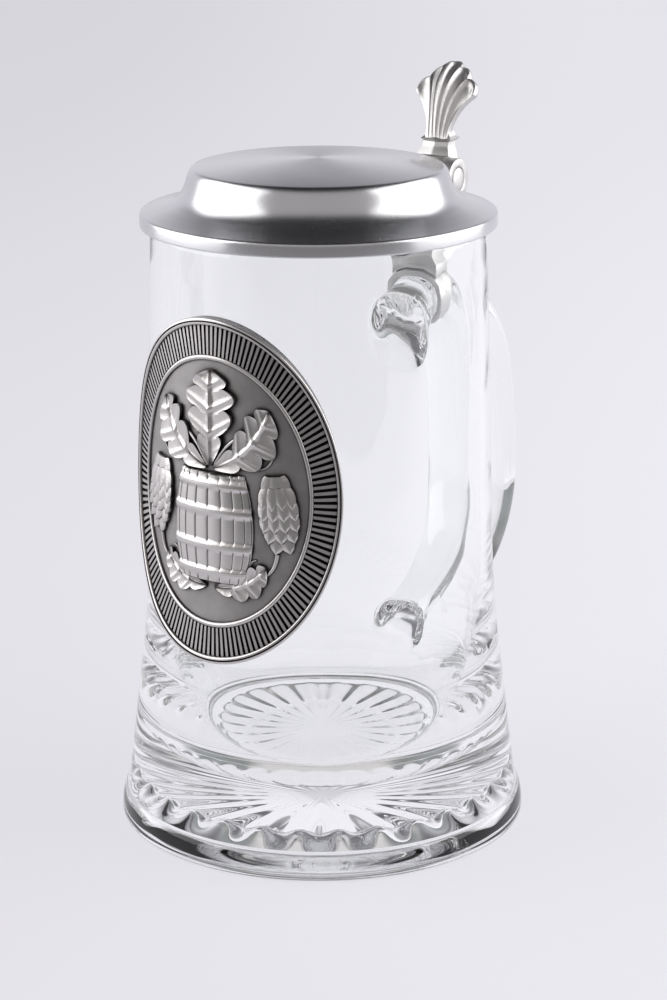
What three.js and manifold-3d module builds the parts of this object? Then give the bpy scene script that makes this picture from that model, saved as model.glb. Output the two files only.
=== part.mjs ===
// Glass beer mug with a hinged pewter lid.
// Millimetres, +Z up. The medallion faces -Y; the handle, hinge and thumb lift stand at +Y.

import * as THREE from 'three';
import { mergeVertices } from 'three/addons/utils/BufferGeometryUtils.js';
import Module from 'manifold-3d';

// Fits
const SEAT_GAP = 0.3; // joint line between soldered, clamped or fused pieces
const GLUE_GAP = 0.2; // joint line on each side of the medallion's adhesive
const PIN_GAP = 0.1; // round the hinge pin
const RING_GAP = 0.2; // between neighbouring hinge rings

// Glass body, radii growing from the rim down
const RIM_HEIGHT = 156.4;
const RIM_RADIUS = 41.9;
const RIM_WALL = 2.2;
const WALL_TAPER = 2.5; // widening from the rim to the bend
const BEND_HEIGHT = 59; // where the upper wall turns into the flare
const BEND_BLEND = 16; // height to each side over which that turn is rounded
const FLARE = 6.3; // widening from the bend to the crease above the foot
const CREASE_HEIGHT = 7.4;
const FOOT_PROUD = 1.8; // how far the foot swells out from the crease
const TOE_HEIGHT = 0.9; // height of the foot's widest part
const STAND_INSET = 1.6; // from the widest part of the foot to the ring that it stands on
const STAND_WIDTH = 3.9;
const BOWL_HEIGHT = 66; // where the inner wall starts to curve in
const BOWL_WALL = 2.8;
const BOWL_UPRIGHT = 0.6; // share of the bowl's height to which its side is pulled straight down
const BOWL_SPREAD = 0.95; // share of its radius to which its floor is pulled out flat
const FLOOR_HEIGHT = 16.6;
const FLOOR_RADIUS = 24;
const FLOOR_DISH = 1;
const BASE_HOLLOW = 6.5;
const FLANK_ROUND = 0.4; // share of the flank that stays level past the star, and of its fall that is upright
const STAR_FLUTES = 24;
const STAR_RADIUS = 34;
const STAR_DEPTH = 2.2; // depth of a flute at the star's edge
const STAR_SWEEP = 3; // power by which a flute deepens from the star's middle

// Glass handle, as two arms that meet at the grip
const UPPER_PAD_DROP = 38.4; // from the rim
const LOWER_PAD_HEIGHT = 31;
const SHOULDER_RISE = 16; // climb of the upper arm from its pad
const GRIP_DROP = 22; // from the upper pad to where the arms meet
const GRIP_REACH = 84; // from the mug's axis to the middle of the grip
const GRIP_LEAN = 0.23; // outward run of the grip for each millimetre down
const UPPER_BOW = 31; // how far the upper arm keeps close to the line of the grip
const LOWER_BOW = 47;
const KNEE_REACH = 22; // from the grip to the knee of the lower arm
const KNEE_RISE = 19; // from the lower pad to that knee
const GRIP_WIDTH = 22;
const GRIP_THICKNESS = 12;
const NECK_WIDTH = 15;
const PAD_WIDTH = 18;
const PAD_HEIGHT = 20;
const PAD_SHARE = 0.22; // share of an arm over which its pad spreads
const GRIP_START = 0.2; // shares of an arm between which the neck widens into the grip
const GRIP_FULL = 0.9;
const HANDLE_SQUARE = 0.8; // 1 gives an ellipse, less a squarer section
const HANDLE_SINK = 4; // how far each end starts inside the wall before it is trimmed

// Lid
const LID_WALL = 1.5;
const BAND_WALL = 1.9;
const BAND_GAP = 0.7; // between the band and the glass
const BAND_OVERLAP = 1.8; // how far the band hangs below the rim
const LIP_ROUND = 0.9;
const FLANGE_WIDTH = 6.6;
const FLANGE_RISE = 2.1;
const CROWN_STEP = 5.8; // from the flange in to the crown's edge
const CROWN_HEIGHT = 10.7; // from the flange's edge to the crown's edge
const CROWN_DOME = 2.2;
const CROWN_SHOULDER = 2.4; // how far the side bulges past the crown's edge
const CROWN_ROUND = 1.3;
const CROWN_COVE = 1.7; // height of the hollow where the side meets the flange
const CROWN_FLAT = 0.55; // share of the crown's radius to which its top is pulled flat
const CROWN_HIP = 0.62; // share of the shoulder's bulge that is kept down to the cove
const UNDER_COVE = 0.4; // share of the wall by which the cove moves in on the underside

// Hinge
const HINGE_STANDOFF = 12; // from the lid's lip to the pin
const HINGE_RISE = 1.3; // pin above the glass rim
const RING_RADIUS = 5.5;
const RING_WIDTH = 3.4;
const PIN_RADIUS = 1.5;
const CAP_RADIUS = 3.2;
const CAP_DEPTH = 0.8;
const CAP_PROUD = 0.3;
const TANG_THICKNESS = 2.2;
const TANG_INSET = 1.2; // from the crown's cove to the end of the tang
const SHANK_WAIST = 8;
const SHANK_DEPTH = 4.4;
const SHANK_FLARE = 4; // height over which the foot narrows to the waist
const CLASP_LENGTH = 9; // handle band, along the arm
const CLASP_WALL = 1.6;

// Thumb lift, measured from the pin
const STEM_FOOT = 3.85; // height at which the stem starts, before the saddle is cut
const STEM_OFFSET = 1.45; // stem's middle behind the pin
const STEM_LEAN = 0.45; // how far the stem leans back for each millimetre up
const STEM_DEPTH = 6.2;
const STEM_KEEL = 0.9;
const STEM_TIP = 4.5; // how far the stem runs up into the shell
const STEM_TAPER = 0.6; // its width and depth there, as a share of the shell's
const COLLAR_HEIGHT = 9.5;
const COLLAR_WIDTH = 8.9;
const COLLAR_RADIUS = 0.7;
const SHELL_FRONT = 0.8; // shell's foot in front of the stem's middle
const SHELL_WALL = 3.2;
const SHELL_NECK = 6.6;
const SHELL_WIDTH = 19.8;
const SHELL_SPREAD = 2.2; // power by which the shell widens towards its tip
const KEEL_HEIGHT = 29.7;
const KEEL_CURL = 9.6; // how far the keel curls back from its foot
const KEEL_PULL = [[0, 0.58], [0.2, 0.965]]; // pulls on its curve, as shares of its curl and rise
const EDGE_HEIGHT = 20.3;
const EDGE_CURL = 4.6;
const EDGE_PULL = [[0.15, 0.33], [0.6, 0.75]];
const SHELL_FLUTES = 6;
const FLUTE_DEPTH = 0.9;
const FLUTE_START = 0.6; // power by which a flute deepens from the collar
const FLUTE_END = 0.8; // share of the shell's length at which the flutes start to run out
const FLUTE_NOTCH = 0.07; // share of that length cut between neighbours

// Medallion
const MEDALLION_HEIGHT = 86;
const MEDALLION_WIDTH = 63.6;
const MEDALLION_DROP = 17.4; // from the rim to its top
const MEDALLION_TURN = 3.9; // degrees that it sits off the front
const MEDALLION_RIM = 2.6;
const MEDALLION_FIELD = 1.4;
const MEDALLION_BEAD = 2;
const MEDALLION_BORDER = 9;
const RIM_WIDTH = 1.9;
const BEAD_WIDTH = 1.4;
const EDGE_SHARE = 0.2; // share of a rim or bead that its sloping corners take
const PAD_THICKNESS = 0.5;
const PAD_INSET = 3;

// Facet counts
const ROUND_SIDES = 2 * STAR_FLUTES;
const HINGE_SIDES = 24;
const OVAL_SIDES = 48;
const HANDLE_SIDES = 14;
const HANDLE_STEPS = 28;
const FLUTE_SIDES = 4;
const SHELL_STEPS = 9;

// A point on a quarter round at 45 degrees lies this share of its radius in from each side.
const ROUND_CORNER = 0.3;

const wasm = await Module();
wasm.setup();

const TOUCH = 1e-5; // points this close are one

const v2 = (x, y) => new THREE.Vector2(x, y);

// Bodies and booleans

// Merges shared vertices and drops the zero-width triangles left at poles.
function closed(geometry) {
  geometry.deleteAttribute('normal');
  geometry.deleteAttribute('uv');
  const merged = mergeVertices(geometry, TOUCH);
  const corners = merged.getIndex().array;
  const kept = [];
  for (let i = 0; i < corners.length; i += 3) {
    const [a, b, c] = corners.slice(i, i + 3);
    if (a !== b && b !== c && c !== a) {
      kept.push(a, b, c);
    }
  }
  merged.setIndex(kept);
  return merged;
}

function toSolid(geometry) {
  const body = closed(geometry);
  return new wasm.Manifold(new wasm.Mesh({
    numProp: 3,
    vertProperties: new Float32Array(body.getAttribute('position').array),
    triVerts: new Uint32Array(body.getIndex().array),
  }));
}

function toGeometry(solid) {
  const mesh = solid.getMesh();
  const geometry = new THREE.BufferGeometry();
  geometry.setAttribute('position', new THREE.BufferAttribute(mesh.vertProperties, 3));
  geometry.setIndex(new THREE.BufferAttribute(mesh.triVerts, 1));
  return geometry;
}

// Turns a profile of radius and height round the Z axis.
function revolve(profile, sides) {
  return closed(new THREE.LatheGeometry(profile, sides).rotateX(Math.PI / 2));
}

// Skins a row of rings that have the same number of points, and closes both ends.
function loft(rings) {
  const around = rings[0].length;
  const points = rings.flat();
  const corners = [];
  for (let ring = 0; ring + 1 < rings.length; ring += 1) {
    for (let side = 0; side < around; side += 1) {
      const a = ring * around + side;
      const b = ring * around + (side + 1) % around;
      corners.push(a, b, b + around, a, b + around, a + around);
    }
  }
  const last = (rings.length - 1) * around;
  for (let side = 1; side + 1 < around; side += 1) {
    corners.push(0, side + 1, side);
    corners.push(last, last + side, last + side + 1);
  }
  const geometry = new THREE.BufferGeometry().setFromPoints(points);
  geometry.setIndex(corners);
  return geometry;
}

// Evenly spaced flat rings, so that a wide face can bend.
function flatRings(from, to, height, count) {
  const rings = [];
  for (let step = 0; step <= count; step += 1) {
    rings.push(v2(from + ((to - from) * step) / count, height));
  }
  return rings;
}

// Points of an outline in the YZ plane, extruded to both sides along X.
function slab(outline, width) {
  const shape = new THREE.Shape(outline);
  const geometry = new THREE.ExtrudeGeometry(shape, { depth: width, bevelEnabled: false });
  geometry.translate(0, 0, -width / 2);
  const toYZ = new THREE.Matrix4().set(0, 0, 1, 0, 1, 0, 0, 0, 0, 1, 0, 0, 0, 0, 0, 1);
  return geometry.applyMatrix4(toYZ);
}

// Glass body

const bendRadius = RIM_RADIUS + WALL_TAPER;
const creaseRadius = bendRadius + FLARE;
const footRadius = creaseRadius + FOOT_PROUD;
const standOuter = footRadius - STAND_INSET;
const standInner = standOuter - STAND_WIDTH;
const upperSlope = WALL_TAPER / (RIM_HEIGHT - BEND_HEIGHT);
const lowerSlope = FLARE / (BEND_HEIGHT - CREASE_HEIGHT);

// Outer radius of the wall: two cones with a rounded turn between them.
function wallRadius(z) {
  const below = BEND_HEIGHT - z;
  const turn = THREE.MathUtils.clamp((below + BEND_BLEND) / (2 * BEND_BLEND), 0, 1);
  if (turn === 1) {
    return bendRadius + lowerSlope * below;
  }
  return bendRadius + upperSlope * below + (lowerSlope - upperSlope) * BEND_BLEND * turn * turn;
}

// Foot, wall and rounded rim, from the standing ring up. The foot swells out below its crease.
function outerProfile(grow) {
  const toe = new THREE.QuadraticBezierCurve(
    v2(standOuter, 0),
    v2(footRadius, 0),
    v2(footRadius, TOE_HEIGHT),
  );
  const swell = new THREE.EllipseCurve(
    creaseRadius,
    TOE_HEIGHT,
    FOOT_PROUD,
    CREASE_HEIGHT - TOE_HEIGHT,
    0,
    Math.PI / 2,
  );
  const wall = [];
  const steps = 6;
  for (let step = 0; step <= steps; step += 1) {
    const z = BEND_HEIGHT + BEND_BLEND * ((2 * step) / steps - 1);
    wall.push(v2(wallRadius(z), z));
  }
  const round = RIM_WALL / 2;
  const rim = new THREE.EllipseCurve(RIM_RADIUS - round, RIM_HEIGHT - round, round, round, 0, Math.PI);
  const points = [...toe.getPoints(2), ...swell.getPoints(4).slice(1), ...wall, ...rim.getPoints(4)];
  return points.map((p) => v2(p.x + grow, p.y));
}

// Beer side of the wall, curving into a slightly dished floor.
function innerProfile() {
  const bowlRadius = wallRadius(BOWL_HEIGHT) - BOWL_WALL;
  const bowl = new THREE.CubicBezierCurve(
    v2(bowlRadius, BOWL_HEIGHT),
    v2(bowlRadius, BOWL_HEIGHT * BOWL_UPRIGHT),
    v2(bowlRadius * BOWL_SPREAD, FLOOR_HEIGHT),
    v2(FLOOR_RADIUS, FLOOR_HEIGHT),
  );
  return [...bowl.getPoints(8), v2(0, FLOOR_HEIGHT - FLOOR_DISH)];
}

// Hollow underside: the star's level field and a rounded flank down to the standing ring.
function underProfile() {
  const flank = new THREE.CubicBezierCurve(
    v2(STAR_RADIUS, BASE_HOLLOW),
    v2(THREE.MathUtils.lerp(STAR_RADIUS, standInner, FLANK_ROUND), BASE_HOLLOW),
    v2(standInner, BASE_HOLLOW * FLANK_ROUND),
    v2(standInner, 0),
  );
  return [...flatRings(0, STAR_RADIUS, BASE_HOLLOW, 4), ...flank.getPoints(4).slice(1)];
}

// Presses the star into the hollow: each flute deepens towards the star's edge and fades down the flank.
function pressStar(geometry) {
  const places = geometry.getAttribute('position');
  for (let i = 0; i < places.count; i += 1) {
    const z = places.getZ(i);
    const radius = Math.hypot(places.getX(i), places.getY(i));
    if (z > BASE_HOLLOW + TOUCH || radius > standInner - TOUCH) {
      continue;
    }
    const angle = Math.atan2(places.getY(i), places.getX(i));
    const across = (1 - Math.cos(STAR_FLUTES * angle)) / 2;
    const along = Math.min(1, radius / STAR_RADIUS) ** STAR_SWEEP;
    places.setZ(i, z + (STAR_DEPTH * across * along * z) / BASE_HOLLOW);
  }
  return geometry;
}

function glassBody() {
  const profile = [...underProfile(), ...outerProfile(0), ...innerProfile()];
  return pressStar(revolve(profile, ROUND_SIDES));
}

// Filled outside of the mug, a little larger, that trims whatever is fused to the wall.
function trimmingBody() {
  const outer = outerProfile(SEAT_GAP);
  const profile = [v2(0, outer[0].y), ...outer, v2(0, RIM_HEIGHT)];
  return toSolid(revolve(profile, ROUND_SIDES));
}

// Glass handle

const upperPadHeight = RIM_HEIGHT - UPPER_PAD_DROP;
const gripHeight = upperPadHeight - GRIP_DROP;
const lipRadius = RIM_RADIUS + BAND_GAP + BAND_WALL;
const hingeReach = lipRadius + HINGE_STANDOFF;

const upperArm = new THREE.CubicBezierCurve(
  v2(wallRadius(upperPadHeight) - HANDLE_SINK, upperPadHeight),
  v2(hingeReach, upperPadHeight + SHOULDER_RISE),
  v2(GRIP_REACH - GRIP_LEAN * UPPER_BOW, gripHeight + UPPER_BOW),
  v2(GRIP_REACH, gripHeight),
);
const lowerArm = new THREE.CubicBezierCurve(
  v2(GRIP_REACH, gripHeight),
  v2(GRIP_REACH + GRIP_LEAN * LOWER_BOW, gripHeight - LOWER_BOW),
  v2(GRIP_REACH - KNEE_REACH, LOWER_PAD_HEIGHT + KNEE_RISE),
  v2(wallRadius(LOWER_PAD_HEIGHT) - HANDLE_SINK, LOWER_PAD_HEIGHT),
);

// Width and thickness along the handle: 0 at the upper pad, 1 at the grip, 2 at the lower pad.
function handleSize(place) {
  const fromEnd = 1 - Math.abs(place - 1);
  const pad = Math.max(0, 1 - fromEnd / PAD_SHARE) ** 2;
  const grip = THREE.MathUtils.smoothstep(fromEnd, GRIP_START, GRIP_FULL);
  return {
    pad,
    width: NECK_WIDTH + (PAD_WIDTH - NECK_WIDTH) * pad + (GRIP_WIDTH - NECK_WIDTH) * grip,
    thickness: GRIP_THICKNESS + (PAD_HEIGHT - GRIP_THICKNESS) * pad,
  };
}

// Rounded section of the handle at a place along it, grown by a wall or a gap. It is square to
// the arm, and turns upright towards a pad, as the wall stands.
function handleRing(place, grow) {
  const arm = place <= 1 ? upperArm : lowerArm;
  const t = place <= 1 ? place : place - 1;
  const middle = arm.getPoint(t);
  const run = arm.getTangent(t);
  const size = handleSize(place);
  const upright = Math.sqrt(size.pad);
  const out = v2(-run.y * (1 - upright), THREE.MathUtils.lerp(run.x, Math.sign(run.x), upright)).normalize();
  const ring = [];
  const squared = (value) => Math.sign(value) * Math.abs(value) ** HANDLE_SQUARE;
  for (let side = 0; side < HANDLE_SIDES; side += 1) {
    const angle = (-2 * Math.PI * side) / HANDLE_SIDES;
    const x = squared(Math.cos(angle)) * (size.width / 2 + grow);
    const n = squared(Math.sin(angle)) * (size.thickness / 2 + grow);
    ring.push(new THREE.Vector3(x, middle.x + out.x * n, middle.y + out.y * n));
  }
  return ring;
}

function handleStretch(from, to, steps, grow) {
  const rings = [];
  for (let step = 0; step <= steps; step += 1) {
    rings.push(handleRing(from + ((to - from) * step) / steps, grow));
  }
  return toSolid(loft(rings));
}

// Place along the upper arm where it passes under the hinge.
function placeUnderHinge() {
  let low = 0;
  let high = 1;
  while (high - low > 1e-6) {
    const middle = (low + high) / 2;
    if (upperArm.getPoint(middle).x < hingeReach) {
      low = middle;
    } else {
      high = middle;
    }
  }
  return low;
}

const claspPlace = placeUnderHinge();
const claspHalf = CLASP_LENGTH / 2 / upperArm.getLength();

// Stretch of the arm under the hinge, as many times the clasp's length, grown by its layers.
function armAtClasp(lengths, grow) {
  const half = claspHalf * lengths;
  return handleStretch(claspPlace - half, claspPlace + half, 4 * lengths, grow);
}

function glassHandle() {
  return toGeometry(handleStretch(0, 2, HANDLE_STEPS, 0).subtract(trimmingBody()));
}

function handleBand() {
  return toGeometry(armAtClasp(1, SEAT_GAP + CLASP_WALL).subtract(armAtClasp(2, SEAT_GAP)));
}

// Lid

const seatHeight = RIM_HEIGHT + SEAT_GAP;
const lipTop = seatHeight + LID_WALL;
const flangeTop = lipTop + FLANGE_RISE;
const crownEdge = lipTop + CROWN_HEIGHT;
const lipInner = lipRadius - LIP_ROUND;
const flangeInner = lipInner - FLANGE_WIDTH;
const crownRadius = flangeInner - CROWN_STEP;

function flangeHeight(radius) {
  return lipTop + (FLANGE_RISE * (lipInner - radius)) / FLANGE_WIDTH;
}

// Crown from its middle to the flange, moved inwards by the wall for its underside.
function crownProfile(inset, domeSteps, sideSteps) {
  const top = crownEdge + CROWN_DOME - inset;
  const edge = v2(crownRadius - inset, crownEdge - inset);
  const dome = new THREE.QuadraticBezierCurve(v2(0, top), v2(crownRadius * CROWN_FLAT, top), edge);
  const side = new THREE.CubicBezierCurve(
    edge,
    v2(edge.x + CROWN_SHOULDER, edge.y - CROWN_ROUND),
    v2(edge.x + CROWN_SHOULDER * CROWN_HIP, flangeTop + CROWN_COVE - inset * UNDER_COVE),
    v2(flangeInner - inset * UNDER_COVE, flangeTop - inset),
  );
  return [...dome.getPoints(domeSteps), ...side.getPoints(sideSteps).slice(1)];
}

function lid() {
  const bandBottom = RIM_HEIGHT - BAND_OVERLAP;
  const bandInner = RIM_RADIUS + BAND_GAP;
  const profile = [
    ...crownProfile(0, 4, 7),
    v2(lipInner, lipTop),
    v2(lipRadius - LIP_ROUND * ROUND_CORNER, lipTop - LIP_ROUND * ROUND_CORNER),
    v2(lipRadius, lipTop - LIP_ROUND),
    v2(lipRadius, bandBottom + LIP_ROUND),
    v2(lipRadius - LIP_ROUND / 2, bandBottom),
    v2(bandInner, bandBottom),
    v2(bandInner, seatHeight),
    v2(RIM_RADIUS - 2 * RIM_WALL, seatHeight),
    ...crownProfile(LID_WALL, 3, 4).reverse(),
  ];
  return revolve(profile.reverse(), ROUND_SIDES);
}

// Hinge

const pinHeight = RIM_HEIGHT + HINGE_RISE;
const ringPitch = RING_WIDTH + RING_GAP;
const shankRings = [-2, 0, 2].map((n) => n * ringPitch);
const lidRings = [-1, 1].map((n) => n * ringPitch);
const barrelHalf = 2 * ringPitch + RING_WIDTH / 2;

// Round bar along the pin's axis. A hole's flats lie on its radius, not its corners.
function bar(radius, width, x, hole) {
  const corner = hole ? radius / Math.cos(Math.PI / HINGE_SIDES) : radius;
  const geometry = new THREE.CylinderGeometry(corner, corner, width, HINGE_SIDES);
  geometry.rotateZ(Math.PI / 2).translate(x, hingeReach, pinHeight);
  return toSolid(geometry);
}

function withRings(body, own, others) {
  let solid = body;
  for (const x of others) {
    solid = solid.subtract(bar(RING_RADIUS + SEAT_GAP, RING_WIDTH + 2 * RING_GAP, x, true));
  }
  for (const x of own) {
    solid = solid.add(bar(RING_RADIUS, RING_WIDTH, x, false));
  }
  return solid.subtract(bar(PIN_RADIUS + PIN_GAP, 4 * barrelHalf, 0, true));
}

// Leaf that lies on the flange and reaches out over the lip to the lid's two rings.
function lidTang() {
  const inner = flangeInner + TANG_INSET;
  const knuckle = hingeReach - RING_RADIUS;
  const outline = [
    v2(inner, flangeHeight(inner) + SEAT_GAP),
    v2(lipInner, lipTop + SEAT_GAP),
    v2(lipRadius + SEAT_GAP, lipTop),
    v2(knuckle, pinHeight - TANG_THICKNESS),
    v2(hingeReach, pinHeight - TANG_THICKNESS),
    v2(hingeReach, pinHeight + TANG_THICKNESS),
    v2(knuckle, lipTop + TANG_THICKNESS),
    v2(lipInner, lipTop + SEAT_GAP + TANG_THICKNESS),
    v2(inner, flangeHeight(inner) + SEAT_GAP + TANG_THICKNESS / 2),
  ];
  const leaf = toSolid(slab(outline, 2 * ringPitch + RING_WIDTH));
  return toGeometry(withRings(leaf, lidRings, shankRings));
}

function rectangle(width, depth, z) {
  const x = width / 2;
  const y = depth / 2;
  const outline = [[-x, -y], [x, -y], [x, y], [-x, y]];
  return outline.map((c) => new THREE.Vector3(c[0], hingeReach + c[1], z));
}

// Post from the handle band up to three rings, with sockets for the caps in the outer two.
function hingeShank() {
  const armTop = upperArm.getPoint(claspPlace).y + GRIP_THICKNESS / 2;
  const foot = armTop + SEAT_GAP + CLASP_WALL;
  const waistTop = (foot + pinHeight) / 2;
  const post = toSolid(loft([
    rectangle(NECK_WIDTH, CLASP_LENGTH, foot - SHANK_FLARE),
    rectangle(NECK_WIDTH, CLASP_LENGTH, foot + SHANK_FLARE / 4),
    rectangle(SHANK_WAIST, SHANK_DEPTH, foot + SHANK_FLARE),
    rectangle(SHANK_WAIST, SHANK_DEPTH, waistTop),
    rectangle(2 * barrelHalf, SHANK_DEPTH, pinHeight - RING_RADIUS),
    rectangle(2 * barrelHalf, SHANK_DEPTH, pinHeight),
  ]));
  const seated = post.subtract(armAtClasp(2, 2 * SEAT_GAP + CLASP_WALL));
  let solid = withRings(seated, shankRings, lidRings);
  for (const x of [-barrelHalf, barrelHalf]) {
    solid = solid.subtract(bar(CAP_RADIUS + PIN_GAP, 2 * CAP_DEPTH, x, true));
  }
  return toGeometry(solid);
}

function hingePin() {
  return toGeometry(bar(PIN_RADIUS, 2 * (barrelHalf - CAP_DEPTH - PIN_GAP), 0, false));
}

// Low dome that closes one end of the hinge.
function pinCap(side) {
  const edge = CAP_DEPTH - PIN_GAP;
  const dome = new THREE.EllipseCurve(0, edge, CAP_RADIUS, CAP_PROUD + PIN_GAP, 0, Math.PI / 2);
  const geometry = revolve([v2(0, 0), v2(CAP_RADIUS, 0), ...dome.getPoints(3)], HINGE_SIDES);
  geometry.rotateY((side * Math.PI) / 2);
  return geometry.translate(side * (barrelHalf - CAP_DEPTH + PIN_GAP / 2), hingeReach, pinHeight);
}

// Thumb lift

function stemMiddle(z) {
  return STEM_OFFSET + STEM_LEAN * z;
}

const shellFoot = stemMiddle(COLLAR_HEIGHT) - SHELL_FRONT;

// Curve from the collar to the tip, in Y and Z from the pin; across is 0 at the keel, 1 at the edge.
function shellCurve(across) {
  const mix = (keel, edge) => THREE.MathUtils.lerp(keel, edge, across);
  const rise = mix(KEEL_HEIGHT, EDGE_HEIGHT) - COLLAR_HEIGHT;
  const curl = mix(KEEL_CURL, EDGE_CURL);
  const [low, high] = KEEL_PULL.map((pull, end) => v2(
    shellFoot + curl * mix(pull[0], EDGE_PULL[end][0]),
    COLLAR_HEIGHT + rise * mix(pull[1], EDGE_PULL[end][1]),
  ));
  const foot = v2(shellFoot, COLLAR_HEIGHT);
  return new THREE.CubicBezierCurve(foot, low, high, v2(shellFoot + curl, COLLAR_HEIGHT + rise));
}

// Fan of hollow flutes folded along its keel, as a front and a back face that share their edges.
function shellFan() {
  const columns = FLUTE_SIDES * SHELL_FLUTES;
  const rows = SHELL_STEPS;
  const front = [];
  const back = [];
  for (let row = 0; row <= rows; row += 1) {
    const scoop = (row / rows) ** FLUTE_START * (1 - THREE.MathUtils.smoothstep(row / rows, FLUTE_END, 1));
    for (let column = 0; column <= columns; column += 1) {
      const across = (2 * column) / columns - 1;
      const ridge = Math.abs((2 * (column % FLUTE_SIDES)) / FLUTE_SIDES - 1);
      const along = (row / rows) * (1 - FLUTE_NOTCH * ridge ** 2);
      const curve = shellCurve(Math.abs(across));
      const place = curve.getPoint(along);
      const run = curve.getTangent(along);
      const width = THREE.MathUtils.lerp(SHELL_NECK, SHELL_WIDTH, along ** SHELL_SPREAD);
      const depth = SHELL_WALL / 2;
      const face = depth - FLUTE_DEPTH * scoop * (1 - ridge ** 4);
      const x = (across * width) / 2;
      const y = hingeReach + place.x;
      const z = pinHeight + place.y;
      front.push(new THREE.Vector3(x, y - run.y * face, z + run.x * face));
      back.push(new THREE.Vector3(x, y + run.y * depth, z - run.x * depth));
    }
  }
  const stride = columns + 1;
  const half = front.length;
  const corners = [];
  const quad = (a, b, c, d) => corners.push(a, b, c, a, c, d);
  for (let row = 0; row < rows; row += 1) {
    for (let column = 0; column < columns; column += 1) {
      const a = row * stride + column;
      quad(a, a + 1, a + 1 + stride, a + stride);
      quad(half + a + stride, half + a + 1 + stride, half + a + 1, half + a);
    }
    const left = row * stride;
    const right = left + columns;
    quad(half + left, left, left + stride, half + left + stride);
    quad(right, half + right, half + right + stride, right + stride);
  }
  const top = rows * stride;
  for (let column = 0; column < columns; column += 1) {
    quad(half + column, half + column + 1, column + 1, column);
    const a = top + column;
    quad(a, a + 1, half + a + 1, half + a);
  }
  const geometry = new THREE.BufferGeometry().setFromPoints([...front, ...back]);
  geometry.setIndex(corners);
  return geometry;
}

// Five-sided section, at a height and a distance behind the pin, with a keel that points at the lid.
function keelRing(width, depth, z, behind) {
  const x = width / 2;
  const back = hingeReach + behind + depth / 2;
  const front = back - depth;
  const cheek = front + STEM_KEEL;
  const outline = [[-x, cheek], [0, front], [x, cheek], [x, back], [-x, back]];
  return outline.map((c) => new THREE.Vector3(c[0], c[1], pinHeight + z));
}

function thumbLift() {
  const stemRing = (width, depth, z) => keelRing(width, depth, z, stemMiddle(z));
  const neckWidth = COLLAR_WIDTH - 2 * COLLAR_RADIUS;
  const neckDepth = STEM_DEPTH - 2 * COLLAR_RADIUS;
  const stem = toSolid(loft([
    stemRing(2 * ringPitch + RING_WIDTH, STEM_DEPTH, STEM_FOOT),
    stemRing(COLLAR_WIDTH, STEM_DEPTH - COLLAR_RADIUS, RING_RADIUS + COLLAR_RADIUS),
    stemRing(neckWidth, neckDepth, COLLAR_HEIGHT - COLLAR_RADIUS),
    stemRing(COLLAR_WIDTH, STEM_DEPTH, COLLAR_HEIGHT),
    stemRing(neckWidth, neckDepth, COLLAR_HEIGHT + COLLAR_RADIUS),
    keelRing(SHELL_NECK * STEM_TAPER, SHELL_WALL * STEM_TAPER, COLLAR_HEIGHT + STEM_TIP, shellFoot),
  ]));
  const saddle = bar(RING_RADIUS + SEAT_GAP, 4 * barrelHalf, 0, true);
  return toGeometry(stem.add(toSolid(shellFan())).subtract(saddle));
}

// Medallion

// Lays an oval that was turned round the Z axis onto the glass: its height becomes its depth.
function onGlass(geometry, lift) {
  const places = geometry.getAttribute('position');
  const middle = RIM_HEIGHT - MEDALLION_DROP - MEDALLION_HEIGHT / 2;
  const bend = wallRadius(middle);
  const turn = THREE.MathUtils.degToRad(MEDALLION_TURN);
  for (let i = 0; i < places.count; i += 1) {
    const z = middle + places.getY(i);
    const radius = wallRadius(z) + lift + places.getZ(i);
    const angle = places.getX(i) / bend - turn;
    places.setXYZ(i, radius * Math.sin(angle), -radius * Math.cos(angle), z);
  }
  return geometry;
}

function medallionPad() {
  const tall = MEDALLION_HEIGHT / 2 - PAD_INSET;
  const profile = [...flatRings(0, tall, 0, 6), ...flatRings(tall, 0, PAD_THICKNESS, 6)];
  const wide = MEDALLION_WIDTH / 2 - PAD_INSET;
  return onGlass(revolve(profile, OVAL_SIDES).scale(wide / tall, 1, 1), GLUE_GAP);
}

function medallion() {
  const tall = MEDALLION_HEIGHT / 2;
  const border = tall - MEDALLION_BORDER;
  const rim = tall - RIM_WIDTH;
  const profile = [
    ...flatRings(0, tall, 0, 6),
    v2(tall, MEDALLION_RIM * (1 - EDGE_SHARE)),
    v2(tall - RIM_WIDTH * EDGE_SHARE, MEDALLION_RIM),
    v2(rim + RIM_WIDTH * EDGE_SHARE, MEDALLION_RIM),
    v2(rim, MEDALLION_FIELD),
    v2(border, MEDALLION_FIELD),
    v2(border - BEAD_WIDTH * EDGE_SHARE, MEDALLION_BEAD),
    v2(border - BEAD_WIDTH * (1 - EDGE_SHARE), MEDALLION_BEAD),
    v2(border - BEAD_WIDTH, MEDALLION_FIELD),
    ...flatRings(border - BEAD_WIDTH, 0, MEDALLION_FIELD, 4).slice(1),
  ];
  const geometry = revolve(profile, OVAL_SIDES).scale(MEDALLION_WIDTH / MEDALLION_HEIGHT, 1, 1);
  return onGlass(geometry, PAD_THICKNESS + 2 * GLUE_GAP);
}

// Assembly

const finishes = {
  glass: { color: 0xe6efec, roughness: 0.04, metalness: 0, transparent: true, opacity: 0.4 },
  spunPewter: { color: 0xc2c2c4, roughness: 0.28, metalness: 1 },
  castPewter: { color: 0xb4b2ae, roughness: 0.38, metalness: 1 },
  agedPewter: { color: 0x86827c, roughness: 0.45, metalness: 1 },
  steel: { color: 0xa8a9ab, roughness: 0.3, metalness: 1 },
  adhesive: { color: 0xd8d8d2, roughness: 0.7, metalness: 0 },
};

const mug = new THREE.Group();

function place(name, geometry, finish) {
  const mesh = new THREE.Mesh(geometry, new THREE.MeshStandardMaterial(finishes[finish]));
  mesh.name = name;
  mug.add(mesh);
}

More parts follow.
